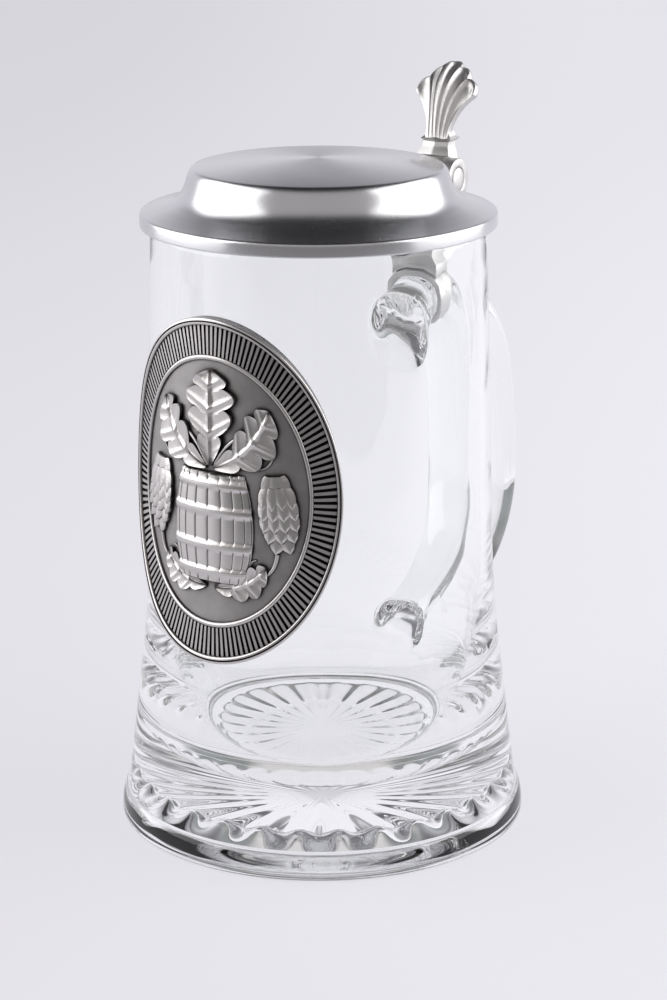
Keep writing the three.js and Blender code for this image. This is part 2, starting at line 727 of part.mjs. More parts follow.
place('glass_body', glassBody(), 'glass');
place('glass_handle', glassHandle(), 'glass');
place('lid', lid(), 'spunPewter');
place('lid_tang', lidTang(), 'castPewter');
place('thumb_lift', thumbLift(), 'castPewter');
place('hinge_shank', hingeShank(), 'castPewter');
place('handle_band', handleBand(), 'castPewter');
place('hinge_pin', hingePin(), 'steel');
place('pin_cap_left', pinCap(-1), 'castPewter');
place('pin_cap_right', pinCap(1), 'castPewter');
place('medallion', medallion(), 'agedPewter');
place('medallion_pad', medallionPad(), 'adhesive');

// The origin is on the table, under the middle of the whole object.
const box = new THREE.Box3().setFromObject(mug);
const middle = box.getCenter(new THREE.Vector3());
mug.position.set(-middle.x, -middle.y, -box.min.z);

export default mug;
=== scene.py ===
"""Looks of a lidded glass beer mug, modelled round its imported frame.

Metres, +Z up. The medallion faces -Y; the handle, hinge and thumb lift stand at +Y.
"""

import math

import bmesh
import bpy
from bpy.props import FloatProperty, FloatVectorProperty, IntProperty, PointerProperty
from bpy.types import Operator, Panel, PropertyGroup
from mathutils import Matrix, Vector


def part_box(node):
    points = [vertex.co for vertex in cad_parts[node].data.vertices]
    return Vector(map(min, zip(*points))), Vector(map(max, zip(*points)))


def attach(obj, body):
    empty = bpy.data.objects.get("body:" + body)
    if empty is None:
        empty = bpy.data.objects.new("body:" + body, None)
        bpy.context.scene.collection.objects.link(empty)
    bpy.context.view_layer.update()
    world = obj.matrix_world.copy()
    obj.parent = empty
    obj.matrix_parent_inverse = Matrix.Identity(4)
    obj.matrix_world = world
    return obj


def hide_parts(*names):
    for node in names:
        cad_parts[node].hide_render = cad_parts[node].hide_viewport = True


bl_info = {
    "name": "Lidded Glass Mug",
    "version": (1, 0, 0),
    "blender": (4, 5, 0),
    "location": "View3D > Sidebar > Mug",
    "description": "Models the glass, pewter lid, hinge and medallion of a beer mug",
    "category": "Mesh",
}

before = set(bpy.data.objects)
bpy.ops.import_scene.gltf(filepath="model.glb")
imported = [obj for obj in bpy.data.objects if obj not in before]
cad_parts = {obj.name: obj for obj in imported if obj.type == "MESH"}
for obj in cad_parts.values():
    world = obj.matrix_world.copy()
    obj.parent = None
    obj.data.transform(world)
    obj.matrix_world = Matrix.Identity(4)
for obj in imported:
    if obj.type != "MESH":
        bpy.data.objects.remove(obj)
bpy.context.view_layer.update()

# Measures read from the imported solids
GLASS_LOW, GLASS_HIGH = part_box("glass_body")
LID_LOW, LID_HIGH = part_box("lid")
PIN_LOW, PIN_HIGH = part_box("hinge_pin")
PLATE_LOW, PLATE_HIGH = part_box("medallion")
AXIS = Vector(((GLASS_LOW.x + GLASS_HIGH.x) / 2, (GLASS_LOW.y + GLASS_HIGH.y) / 2, 0))
RIM_HEIGHT = GLASS_HIGH.z
FOOT_RADIUS = (GLASS_HIGH.x - GLASS_LOW.x) / 2
LIP_RADIUS = (LID_HIGH.x - LID_LOW.x) / 2
BAND_BOTTOM = LID_LOW.z
PIN = (PIN_LOW + PIN_HIGH) / 2 - AXIS
PLATE_MIDDLE = (PLATE_LOW.z + PLATE_HIGH.z) / 2
PLATE_HEIGHT = PLATE_HIGH.z - PLATE_LOW.z

CLEARANCE = Vector((0, 0, 0.0001))
TURN = 2 * math.pi


def length(name, text, default):
    return FloatProperty(name=name, description=text, default=default, unit="LENGTH", precision=5)


def share(name, text, default):
    return FloatProperty(name=name, description=text, default=default, min=0, max=1, subtype="FACTOR")


def number(name, text, default):
    return FloatProperty(name=name, description=text, default=default)


def count(name, text, default):
    return IntProperty(name=name, description=text, default=default, min=3)


def angle(name, text, degrees):
    return FloatProperty(name=name, description=text, default=math.radians(degrees), subtype="ANGLE")


def colour(name, text, default):
    return FloatVectorProperty(
        name=name, description=text, default=default, size=3, min=0, max=1, subtype="COLOR"
    )


# Sizes and colours that a user would change


class MugGlassSettings(PropertyGroup):
    rim_radius: length("Rim Radius", "Outer radius at the rim", 0.0419)
    rim_wall: length("Rim Wall", "Thickness of the wall at the rim", 0.0022)
    bend_radius: length("Bend Radius", "Outer radius where the flare starts", 0.0444)
    bend_height: length("Bend Height", "Height at which the flare starts", 0.059)
    bend_blend: length("Bend Blend", "Height to each side over which that turn is rounded", 0.016)
    crease_radius: length("Crease Radius", "Outer radius of the crease above the foot", 0.0507)
    crease_height: length("Crease Height", "Height of that crease", 0.0074)
    stand_outer: length("Stand Outer", "Outer radius of the ring that it stands on", 0.0509)
    stand_inner: length("Stand Inner", "Inner radius of that ring", 0.0470)
    bowl_height: length("Bowl Height", "Where the inner wall starts to curve in", 0.066)
    bowl_wall: length("Bowl Wall", "Thickness of the wall there", 0.0028)
    floor_height: length("Floor Height", "Height of the inside floor", 0.0166)
    floor_radius: length("Floor Radius", "Radius of the flat part of the floor", 0.024)
    floor_dish: length("Floor Dish", "Depth of the floor's dish", 0.001)
    base_hollow: length("Base Hollow", "Hollow under the base", 0.0065)
    toe_height: length("Toe Height", "Height of the widest part of the foot", 0.0009)
    flank_round: share("Flank Round", "How round the hollow's flank is", 0.12)
    star_radius: length("Star Radius", "Radius of the star in that hollow", 0.034)
    star_depth: length("Star Depth", "Depth of the star's flutes at its edge", 0.0011)
    star_sweep: number("Star Sweep", "Power by which a flute deepens from the star's middle", 2)
    flank_fade: number("Flank Fade", "Power by which a flute fades down the flank", 5)
    star_flutes: count("Star Flutes", "Flutes in the star under the base", 24)
    sides: count("Sides", "Sides of the turned glass", 288)
    tint: colour("Tint", "Colour of the clear glass", (0.985, 0.993, 0.990))


class MugHandleSettings(PropertyGroup):
    upper_pad: length("Upper Pad", "Height of the upper pad's middle", 0.118)
    lower_pad: length("Lower Pad", "Height of the lower pad's middle", 0.031)
    shoulder_rise: length("Shoulder Rise", "Climb of the upper arm from its pad", 0.016)
    grip_height: length("Grip Height", "Height at which the two arms meet", 0.096)
    grip_reach: length("Grip Reach", "From the mug's axis to the middle of the grip", 0.084)
    grip_lean: number("Grip Lean", "Outward run of the grip for each metre down", 0.23)
    upper_bow: length("Upper Bow", "How far the upper arm keeps to the grip's line", 0.031)
    lower_bow: length("Lower Bow", "How far the lower arm keeps to the grip's line", 0.058)
    knee_reach: length("Knee Reach", "From the grip to the knee of the lower arm", 0.022)
    knee_rise: length("Knee Rise", "From the lower pad up to that knee", 0.012)
    grip_width: length("Grip Width", "Width at the grip", 0.022)
    thickness: length("Thickness", "Thickness of the arms", 0.012)
    neck_width: length("Neck Width", "Width next to the pads", 0.015)
    pad_width: length("Pad Width", "Width of a pad", 0.018)
    pad_height: length("Pad Height", "Height of a pad", 0.020)
    sink: length("Sink", "How far each end is fused into the wall", 0.0012)


class MugLidSettings(PropertyGroup):
    wall: length("Wall", "Thickness of the sheet", 0.0015)
    band_wall: length("Band Wall", "Thickness of the turned-down band", 0.0019)
    lip_round: length("Lip Round", "Radius of the lip's edge", 0.0009)
    flange_width: length("Flange Width", "Width of the sloping flange", 0.0066)
    flange_rise: length("Flange Rise", "Rise of the flange towards the crown", 0.0021)
    crown_step: length("Crown Step", "From the flange in to the crown's edge", 0.0058)
    crown_height: length("Crown Height", "From the flange's edge to the crown's edge", 0.0107)
    crown_dome: length("Crown Dome", "Rise of the crown's middle", 0.0022)
    crown_round: length("Crown Round", "Rounding of the crown's edge", 0.0013)
    crown_shoulder: length("Crown Shoulder", "How far the side bulges past the crown", 0.0021)
    crown_cove: length("Crown Cove", "Hollow where the side meets the flange", 0.0017)
    seat_gap: length("Seat Gap", "Gap between the rim and the lid", 0.0003)
    sides: count("Sides", "Sides of the turned sheet", 192)
    metal: colour("Metal", "Colour of the spun pewter", (0.66, 0.66, 0.68))


class MugLiftSettings(PropertyGroup):
    stem_foot: length("Stem Foot", "Where the stem starts above the pin, before the saddle is cut", 0.00385)
    stem_offset: length("Stem Offset", "Middle of the stem behind the pin", 0.00145)
    stem_lean: number("Stem Lean", "How far the stem leans back for each metre up", 0.45)
    stem_depth: length("Stem Depth", "Depth of the stem", 0.0062)
    stem_width: length("Stem Width", "Width of the stem on the hinge", 0.0106)
    stem_keel: length("Stem Keel", "How far the keel stands out from the stem", 0.0009)
    stem_tip: length("Stem Tip", "How far the stem runs up into the shell", 0.0045)
    stem_taper: share("Stem Taper", "Its width and depth there, as a share of the shell's", 0.6)
    collar_height: length("Collar Height", "Collar above the pin", 0.0095)
    collar_width: length("Collar Width", "Width of the collar", 0.0089)
    collar_radius: length("Collar Radius", "How far the collar stands out", 0.0007)
    shell_front: length("Shell Front", "Shell's foot in front of the stem's middle", 0.0008)
    wall: length("Wall", "Thickness of the shell", 0.0032)
    neck: length("Neck", "Width of the shell at the collar", 0.0066)
    width: length("Width", "Width of the shell at its tip", 0.0198)
    spread: number("Spread", "Power by which the shell widens towards its tip", 2.2)
    keel_height: length("Keel Height", "Tip of the keel above the pin", 0.0279)
    keel_curl: length("Keel Curl", "How far the keel curls back from its foot", 0.0113)
    edge_height: length("Edge Height", "Tip of the edges above the pin", 0.0215)
    edge_curl: length("Edge Curl", "How far the edges curl back from their foot", 0.0049)
    fold: number("Fold", "Power by which the tips drop from keel to edges", 1.7)
    flutes: count("Flutes", "Flutes across the shell", 6)
    flute_depth: length("Flute Depth", "Depth of a flute", 0.0009)
    flute_end: share("Flute End", "Share of the shell's length at which the flutes run out", 0.84)
    notch: share("Notch", "Share of that length cut between two flutes", 0.07)
    metal: colour("Metal", "Colour of the cast pewter", (0.60, 0.59, 0.59))


class MugHingeSettings(PropertyGroup):
    ring_radius: length("Ring Radius", "Radius of the hinge rings", 0.0055)
    saddle_gap: length("Saddle Gap", "Gap between the rings and the thumb lift", 0.0003)
    edge: length("Edge", "Rounding of the cast edges", 0.0003)
    steel: colour("Steel", "Colour of the pin", (0.55, 0.55, 0.56))


class MugMedallionSettings(PropertyGroup):
    width: length("Width", "Width along the glass", 0.0636)
    turn: angle("Turn", "How far it sits off the front", 3.9)
    lift: length("Lift", "From the glass to its back", 0.0009)
    rim: length("Rim", "Height of the rim", 0.0026)
    rim_width: length("Rim Width", "Width of the rim", 0.0019)
    field: length("Field", "Height of the plain field", 0.0014)
    border: length("Border", "Width of the ribbed border with its bead", 0.009)
    bead_width: length("Bead Width", "Width of the bead inside the border", 0.0014)
    rib_rise: length("Rib Rise", "Height of the border's ribs", 0.0005)
    ribs: count("Ribs", "Ribs round the border", 150)
    metal: colour("Metal", "Colour of the rubbed pewter", (0.60, 0.58, 0.57))
    patina: colour("Patina", "Colour of the darkened hollows", (0.06, 0.055, 0.055))


class MugStageSettings(PropertyGroup):
    azimuth: angle("Azimuth", "Camera's angle round the mug from the front", 31.2)
    distance: length("Distance", "From the mug's axis to the camera, level", 0.682)
    height: length("Height", "Camera's height above the table", 0.285)
    pitch: angle("Pitch", "How far the camera looks down", 16.52)
    aside: angle("Aside", "How far the camera looks past the axis", 0.28)
    roll: angle("Roll", "Camera's tilt", -0.29)
    lens: FloatProperty(name="Lens", description="Focal length", default=100, subtype="DISTANCE_CAMERA")
    backdrop: colour("Backdrop", "Colour of the table and backdrop", (0.79, 0.78, 0.83))
    ceiling: colour("Ceiling", "Colour of the room overhead", (0.03, 0.03, 0.034))
    room: colour("Room", "Colour of the unlit room behind the camera", (0.10, 0.096, 0.096))
    fill: colour("Fill", "Colour of the lit wall above the camera", (0.56, 0.54, 0.54))
    table_end: colour("Table End", "Colour of the table's far front", (0.16, 0.155, 0.155))


# Meshes


def bezier(points, t):
    """Point and direction at a share of a Bezier curve's run."""
    while len(points) > 2:
        points = [a.lerp(b, t) for a, b in zip(points, points[1:])]
    start, end = points
    return start.lerp(end, t), (end - start).normalized()


def curve(points, steps):
    """Points along a Bezier curve, both ends among them."""
    points = [Vector(p) for p in points]
    return [bezier(points, step / steps)[0] for step in range(steps + 1)]


def smoothstep(value, low, high):
    t = min(1, max(0, (value - low) / (high - low)))
    return t * t * (3 - 2 * t)


def turned(bm, profile, sides):
    """Turns a profile of radius and height, with both ends on the axis, round Z."""
    verts = [bm.verts.new((r, 0, z)) for r, z in profile]
    edges = [bm.edges.new(pair) for pair in zip(verts, verts[1:])]
    before = set(bm.verts) - set(verts)
    bmesh.ops.spin(
        bm, geom=verts + edges, axis=(0, 0, 1), angle=TURN, steps=sides, use_merge=True
    )
    made = [v for v in bm.verts if v not in before]
    bmesh.ops.remove_doubles(bm, verts=made, dist=1e-7)
    return [v for v in bm.verts if v not in before]


def rod(bm, sides, steps):
    """Straight round bar of radius 1 from z 0 to z 1, closed at both ends."""
    ring = bmesh.ops.create_circle(bm, segments=sides, radius=1, cap_ends=False)["verts"]
    edges = list({e for v in ring for e in v.link_edges})
    before = set(bm.verts) - set(ring)
    bmesh.ops.spin(bm, geom=ring + edges, dvec=(0, 0, 1 / steps), axis=(0, 0, 1), steps=steps)
    made = [v for v in bm.verts if v not in before]
    rims = list({e for v in made for e in v.link_edges if e.is_boundary})
    bmesh.ops.holes_fill(bm, edges=rims)
    return made


def slab(bm, columns, rows):
    """Flat plate: x from -1 to 1, y from 0 to 1, its faces at z 0 and z 1."""
    made = bmesh.ops.create_grid(bm, x_segments=columns, y_segments=rows, size=1)["verts"]
    faces = list({f for v in made for f in v.link_faces})
    raised = bmesh.ops.extrude_face_region(bm, geom=faces, use_keep_orig=True)["geom"]
    top = [g for g in raised if isinstance(g, bmesh.types.BMVert)]
    bmesh.ops.translate(bm, vec=(0, 0, 1), verts=top)
    for v in made + top:
        v.co.y = (v.co.y + 1) / 2
    return made + top


def shaped(verts, place):
    """Moves each vertex to where the function of its own coordinates puts it."""
    for v in verts:
        v.co = place(*v.co)
    return verts


def perimeter(outline, t):
    """Point at a share of the way round a polygon whose sides count alike."""
    along = (t % 1) * len(outline)
    corner = int(along)
    start, end = outline[corner], outline[(corner + 1) % len(outline)]
    return tuple(a + (b - a) * (along - corner) for a, b in zip(start, end))


def combined(base, tool, operation):
    """Mesh of a boolean between two closed meshes, both of which it uses up."""
    pair = []
    for name, bm in (("base", base), ("tool", tool)):
        bmesh.ops.recalc_face_normals(bm, faces=bm.faces)
        mesh = bpy.data.meshes.new(name)
        bm.to_mesh(mesh)
        bm.free()
        pair.append(bpy.data.objects.new(name, mesh))
        bpy.context.scene.collection.objects.link(pair[-1])
    fuse = pair[0].modifiers.new("fuse", "BOOLEAN")
    fuse.operation = operation
    fuse.solver = "EXACT"
    fuse.object = pair[1]
    result = bmesh.new()
    result.from_object(pair[0], bpy.context.evaluated_depsgraph_get())
    for temporary in pair:
        mesh = temporary.data
        bpy.data.objects.remove(temporary)
        bpy.data.meshes.remove(mesh)
    if not result.faces:
        raise RuntimeError("the boolean left nothing")
    return result


def add_piece(name, bm, material, body, nodes, crease=40):
    """Makes a finished mesh an object that moves with its body and stands for its CAD nodes."""
    mesh = bpy.data.meshes.new(name)
    bm.to_mesh(mesh)
    bm.free()
    mesh.shade_smooth()
    mesh.set_sharp_from_angle(angle=math.radians(crease))
    mesh.materials.append(material)
    piece = bpy.data.objects.new(name, mesh)
    bpy.context.scene.collection.objects.link(piece)
    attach(piece, body)
    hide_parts(*nodes)
    return piece


def finished(bm):
    """Puts a mesh that was made round the mug's axis in its place, faces outwards."""
    bmesh.ops.recalc_face_normals(bm, faces=bm.faces)
    bmesh.ops.translate(bm, vec=AXIS, verts=bm.verts)
    return bm


# Materials


class Wire:
    """Output of a shader node; arithmetic on it adds Math nodes."""

    def __init__(self, tree, socket=None):
        self.tree = tree
        self.socket = socket

    def node(self, kind, settings=None, inputs=None, output=0):
        """Adds any node: its settings first, then the values or links of its sockets."""
        made = self.tree.nodes.new(kind)
        for key, value in (settings or {}).items():
            if key == "stops":
                ramp = made.color_ramp.elements
                while len(ramp) < len(value):
                    ramp.new(1)
                for stop, (place, tone) in zip(ramp, value):
                    stop.position = place
                    stop.color = (*tone, 1)
            else:
                setattr(made, key, value)
        for key, value in (inputs or {}).items():
            if isinstance(value, Wire):
                self.tree.links.new(value.socket, made.inputs[key])
            else:
                made.inputs[key].default_value = value
        return Wire(self.tree, made.outputs[output]) if made.outputs else None

    def math(self, operation, *values):
        return self.node("ShaderNodeMath", {"operation": operation}, dict(enumerate(values)))

    def __add__(self, other):
        return self.math("ADD", self, other)

    def __radd__(self, other):
        return self.math("ADD", other, self)

    def __sub__(self, other):
        return self.math("SUBTRACT", self, other)

    def __rsub__(self, other):
        return self.math("SUBTRACT", other, self)

    def __mul__(self, other):
        return self.math("MULTIPLY", self, other)

    def __rmul__(self, other):
        return self.math("MULTIPLY", other, self)

    def dot(self, direction):
        inputs = {0: self, 1: tuple(direction)}
        return self.node("ShaderNodeVectorMath", {"operation": "DOT_PRODUCT"}, inputs, "Value")

    def ramp(self, low, high):
        """0 at low and 1 at high, with soft ends."""
        settings = {"interpolation_type": "SMOOTHSTEP"}
        return self.node("ShaderNodeMapRange", settings, {"Value": self, "From Min": low, "From Max": high})

    def mix(self, low, high):
        """Colour that runs from low to high as this value runs from 0 to 1."""
        tones = [tone if isinstance(tone, Wire) else (*tone, 1) for tone in (low, high)]
        return self.node(
            "ShaderNodeMix", {"data_type": "RGBA"}, {0: self, 6: tones[0], 7: tones[1]}, 2
        )


def surface(name):
    """New material: its tree's empty wire and its Principled BSDF's inputs."""
    material = bpy.data.materials.new(name)
    material.use_nodes = True
    shader = material.node_tree.nodes["Principled BSDF"]
    return material, Wire(material.node_tree), shader.inputs


def joined(wire, socket):
    wire.tree.links.new(wire.socket, socket)


def object_place(start):
    return start.node("ShaderNodeTexCoord", output="Object")


def noise(place, scale, detail=3.0):
    return place.node(
        "ShaderNodeTexNoise", None, {"Vector": place, "Scale": scale, "Detail": detail}
    )


def bump(height, strength, distance):
    return height.node(
        "ShaderNodeBump", None, {"Height": height, "Strength": strength, "Distance": distance}
    )


def radius_from_axis(start):
    """Distance from the mug's axis, and height, of a point on a piece."""
    centred = start.node(
        "ShaderNodeMapping", None, {"Vector": object_place(start), "Location": tuple(-AXIS)}
    )
    flat = start.node("ShaderNodeVectorMath", {"operation": "MULTIPLY"}, {0: centred, 1: (1, 1, 0)})
    radius = start.node("ShaderNodeVectorMath", {"operation": "LENGTH"}, {0: flat}, "Value")
    height = start.node("ShaderNodeSeparateXYZ", None, {0: centred}, "Z")
    return radius, height


def openness(start, distance):
    """1 on open faces, falling to 0 in hollows narrower than the distance."""
    settings = {"samples": 8, "only_local": True}
    return start.node("ShaderNodeAmbientOcclusion", settings, {"Distance": distance}, "AO")


def dimmed(colour, part):
    return tuple(part * channel for channel in colour)


def clear_glass(settings):
    material, start, shader = surface("clear_glass")
    shader["Base Color"].default_value = (*settings.tint, 1)
    shader["Transmission Weight"].default_value = 1
    shader["IOR"].default_value = 1.5
    place = object_place(start)
    joined(noise(place, 60) * 0.012, shader["Roughness"])
    joined(bump(noise(place, 45, 1.0), 0.06, 0.004), shader["Normal"])
    return material


def spun_pewter(settings):
    """Sheet turned on a lathe: fine rings all over, satin on the crown and flange, bright on the side."""
    material, start, shader = surface("spun_pewter")
    radius, height = radius_from_axis(start)
    place = object_place(start)
    crown = height.ramp(LID_HIGH.z - 0.003, LID_HIGH.z - 0.0022)
    inside_lip = radius.ramp(LIP_RADIUS, LIP_RADIUS - 0.0006)
    flange = radius.ramp(LIP_RADIUS - 0.008, LIP_RADIUS - 0.007) * inside_lip
    satin = crown.math("MAXIMUM", crown, flange)
    wear = noise(place, 90)
    joined(0.25 - satin * 0.04 + wear * 0.04, shader["Roughness"])
    light = tuple(settings.metal)
    joined((wear * 0.5).mix(light, dimmed(light, 0.86)), shader["Base Color"])
    rings = start.node(
        "ShaderNodeTexNoise",
        {"noise_dimensions": "1D"},
        {"W": radius + height, "Scale": 2600.0, "Detail": 2.0},
    )
    joined(bump(rings * (0.15 + 0.85 * satin), 0.12, 0.0002), shader["Normal"])
    shader["Metallic"].default_value = 1
    shader["Anisotropic"].default_value = 0.8
    shader["Anisotropic Rotation"].default_value = 0.25
    return material


def cast_pewter(settings):
    """Polished casting with painted shade darkening its hollows."""
    material, start, shader = surface("cast_pewter")
    place = object_place(start)
    # Mask of the painted shade: 0 in hollows found by ambient occlusion, which are coloured near black
    # (0.12, 0.115, 0.115) below, and 1 on open faces
    rubbed_and_unshaded = openness(start, 0.003).ramp(0.55, 0.98)
    light = tuple(settings.metal)
    tone = (noise(place, 400) * 0.3).mix(light, dimmed(light, 0.8))
    joined(rubbed_and_unshaded.mix((0.12, 0.115, 0.115), tone), shader["Base Color"])
    joined(0.26 - rubbed_and_unshaded * 0.1 + noise(place, 300) * 0.06, shader["Roughness"])
    joined(bump(noise(place, 900), 0.15, 0.0002), shader["Normal"])
    shader["Metallic"].default_value = 1
    return material


def aged_pewter(settings):
    """Relief with black patina in its hollows, rubbed bright on its high places."""
    material, start, shader = surface("aged_pewter")
    place = object_place(start)
    hollow = openness(start, 0.0022)
    relief = start.node("ShaderNodeAttribute", {"attribute_name": "relief"}, None, "Fac")
    cloudy = noise(place, 160)
    rubbed_and_unshaded = (hollow.ramp(0.45, 0.98) * (0.5 + 0.5 * relief) + cloudy * 0.2 - 0.1).ramp(0.05, 0.95)
    joined(rubbed_and_unshaded.mix(tuple(settings.patina), tuple(settings.metal)), shader["Base Color"])
    joined(0.4 - rubbed_and_unshaded * 0.14 + cloudy * 0.06, shader["Roughness"])
    joined(bump(noise(place, 1500), 0.2, 0.00015), shader["Normal"])
    shader["Metallic"].default_value = 1
    return material


def pin_steel(settings):
    material, start, shader = surface("pin_steel")
    place = object_place(start)
    light = tuple(settings.steel)
    joined(noise(place, 500).mix(light, dimmed(light, 0.7)), shader["Base Color"])
    joined(0.25 + noise(place, 800) * 0.15, shader["Roughness"])
    shader["Metallic"].default_value = 1
    return material


def pad_adhesive():
    material, start, shader = surface("pad_adhesive")
    place = object_place(start)
    joined(noise(place, 250).mix((0.62, 0.62, 0.60), (0.76, 0.76, 0.74)), shader["Base Color"])
    joined(bump(noise(place, 2000), 0.4, 0.0002), shader["Normal"])
    shader["Roughness"].default_value = 0.75
    return material


# Glass


def wall_radius(glass, z):
    """Outer radius of the wall: two cones with a rounded turn between them."""
    upper = (glass.bend_radius - glass.rim_radius) / (RIM_HEIGHT - glass.bend_height)
    lower = (glass.crease_radius - glass.bend_radius) / (glass.bend_height - glass.crease_height)
    below = glass.bend_height - z
    turn = min(1, max(0, (below + glass.bend_blend) / (2 * glass.bend_blend)))
    if turn == 1:
        return glass.bend_radius + lower * below
    return glass.bend_radius + upper * below + (lower - upper) * glass.bend_blend * turn * turn


def under_profile(glass):
    """From the middle of the hollow underside down its flank to the ring that the mug stands on."""
    steps = 24
    edge, ring, high = glass.star_radius, glass.stand_inner, glass.base_hollow
    star = [(edge * step / steps, high) for step in range(steps)]
    rounded = edge + (ring - edge) * glass.flank_round
    flank = curve([(edge, high), (rounded, high), (ring, high * glass.flank_round), (ring, 0)], 16)
    return star + [tuple(p) for p in flank]


def outer_profile(glass):
    """Foot, wall and rounded rim, from the standing ring up. The foot swells out below its crease."""
    quarter = 0.5523
    swell, rise = FOOT_RADIUS - glass.crease_radius, glass.crease_height - glass.toe_height
    toe = curve([(glass.stand_outer, 0), (FOOT_RADIUS, 0), (FOOT_RADIUS, glass.toe_height)], 6)
    foot = curve(
        [
            (FOOT_RADIUS, glass.toe_height),
            (FOOT_RADIUS, glass.toe_height + quarter * rise),
            (glass.crease_radius + quarter * swell, glass.crease_height),
            (glass.crease_radius, glass.crease_height),
        ],
        14,
    )
    steps = 64
    low = glass.crease_height + 0.0006
    round_off = glass.rim_wall / 2
    high = RIM_HEIGHT - round_off
    wall = [low + (high - low) * step / steps for step in range(steps + 1)]
    rim = []
    for step in range(1, 12):
        around = math.pi * step / 12
        r = glass.rim_radius - round_off + round_off * math.cos(around)
        rim.append((r, high + round_off * math.sin(around)))
    return [tuple(p) for p in toe + foot[1:]] + [(wall_radius(glass, z), z) for z in wall] + rim


def inner_profile(glass):
    """Beer side of the wall, from the rim down, curving into a slightly dished floor."""
    bowl_radius = wall_radius(glass, glass.bowl_height) - glass.bowl_wall
    high = RIM_HEIGHT - glass.rim_wall / 2
    steps = 24
    wall = []
    for step in range(steps):
        down = step / steps
        r = (glass.rim_radius - glass.rim_wall) * (1 - down) + bowl_radius * down
        wall.append((r, high + (glass.bowl_height - high) * down))
    bowl = curve(
        [
            (bowl_radius, glass.bowl_height),
            (bowl_radius, glass.bowl_height * 0.6),
            (bowl_radius * 0.95, glass.floor_height),
            (glass.floor_radius, glass.floor_height),
        ],
        28,
    )
    floor = curve(
        [
            (glass.floor_radius, glass.floor_height),
            (glass.floor_radius / 2, glass.floor_height),
            (glass.floor_radius / 2, glass.floor_height - glass.floor_dish),
            (0, glass.floor_height - glass.floor_dish),
        ],
        8,
    )
    return wall + [tuple(p) for p in bowl] + [tuple(p) for p in floor[1:]]


def press_star(glass, verts):
    """Presses round flutes into the underside: deepest at the star's edge, fading down its flank."""
    for v in verts:
        radius = math.hypot(v.co.x, v.co.y)
        if v.co.z > glass.base_hollow + 1e-6 or radius > glass.stand_inner - 1e-6:
            continue
        along = min(1, radius / glass.star_radius) ** glass.star_sweep
        hollow = (1 - math.cos(glass.star_flutes * math.atan2(v.co.y, v.co.x))) / 2
        v.co.z += glass.star_depth * along * hollow * (v.co.z / glass.base_hollow) ** glass.flank_fade


# Shares of an arm over which its pad and its fused edge swell, that swell, and the section's power
PAD_RUN, FUSED_RUN = 0.22, 0.07
FUSED_SWELL = 0.004
SECTION_POWER = 0.8


def handle_place(glass, handle, t, around):
    """Point on the handle: t from 0 at the upper pad to 1 at the lower, around its section."""
    grip = (handle.grip_reach, handle.grip_height)
    sunk = [wall_radius(glass, z) - handle.sink for z in (handle.upper_pad, handle.lower_pad)]
    upper = [
        (sunk[0], handle.upper_pad),
        (PIN.y, handle.upper_pad + handle.shoulder_rise),
        (grip[0] - handle.grip_lean * handle.upper_bow, grip[1] + handle.upper_bow),
        grip,
    ]
    lower = [
        grip,
        (grip[0] + handle.grip_lean * handle.lower_bow, grip[1] - handle.lower_bow),
        (grip[0] - handle.knee_reach, handle.lower_pad + handle.knee_rise),
        (sunk[1], handle.lower_pad),
    ]
    arm = [Vector(p) for p in (upper if t <= 0.5 else lower)]
    middle, run = bezier(arm, 2 * t if t <= 0.5 else 2 * t - 1)
    from_end = 2 * min(t, 1 - t)
    pad = max(0, 1 - from_end / PAD_RUN) ** 2
    fused = max(0, 1 - from_end / FUSED_RUN) ** 2
    grip_share = smoothstep(from_end, 0.2, 0.9)
    width = handle.neck_width + (handle.pad_width - handle.neck_width) * pad
    width += (handle.grip_width - handle.neck_width) * grip_share + FUSED_SWELL * fused
    thick = handle.thickness + (handle.pad_height - handle.thickness) * pad + FUSED_SWELL * fused
    upright = math.sqrt(pad)
    facing = math.copysign(1, run.x)
    out = Vector((-run.y * (1 - upright), run.x + (facing - run.x) * upright)).normalized()
    squared = [math.copysign(abs(f(around)) ** SECTION_POWER, f(around)) for f in (math.cos, math.sin)]
    x = squared[0] * width / 2
    spot = middle + out * (squared[1] * thick / 2)
    curved = wall_radius(glass, spot.y) - math.sqrt(wall_radius(glass, spot.y) ** 2 - x * x)
    lean = wall_radius(glass, middle.y) - wall_radius(glass, spot.y)
    return Vector((x, spot.x - (curved + lean) * math.sqrt(pad), spot.y))


class MugGlass(Operator):
    """Fuse the mug's body, with its foot and star base, and its handle into one glass mesh"""

    bl_idname = "mug.glass"
    bl_label = "Glass Mug"

    def execute(self, context):
        glass, handle = context.scene.mug_glass, context.scene.mug_handle
        body = bmesh.new()
        profile = under_profile(glass) + outer_profile(glass) + inner_profile(glass)
        press_star(glass, turned(body, profile, glass.sides))
        arm = bmesh.new()
        verts = rod(arm, 56, 120)
        shaped(verts, lambda x, y, z: handle_place(glass, handle, z, math.atan2(y, x)))
        fused = finished(combined(body, arm, "UNION"))
        add_piece(
            "glass_mug", fused, clear_glass(glass), "mug", ("glass_body", "glass_handle"), 60
        )
        return {"FINISHED"}


# Lid


def crown_profile(lid, inset, steps):
    """Crown from its middle to the flange, moved inwards by the wall for its underside."""
    lip_top = RIM_HEIGHT + lid.seat_gap + lid.wall
    flange_inner = LIP_RADIUS - lid.lip_round - lid.flange_width
    flange_top = lip_top + lid.flange_rise
    crown_radius = flange_inner - lid.crown_step
    edge = Vector((crown_radius - inset, lip_top + lid.crown_height - inset))
    top = edge.y + lid.crown_dome
    dome = curve([(0, top), (crown_radius * 0.55, top), edge], steps)
    side = curve(
        [
            edge,
            (edge.x + lid.crown_shoulder, edge.y - lid.crown_round),
            (edge.x + lid.crown_shoulder * 0.62, flange_top + lid.crown_cove - inset * 0.4),
            (flange_inner - inset * 0.4, flange_top - inset),
        ],
        steps,
    )
    return [tuple(p) for p in dome + side[1:]]


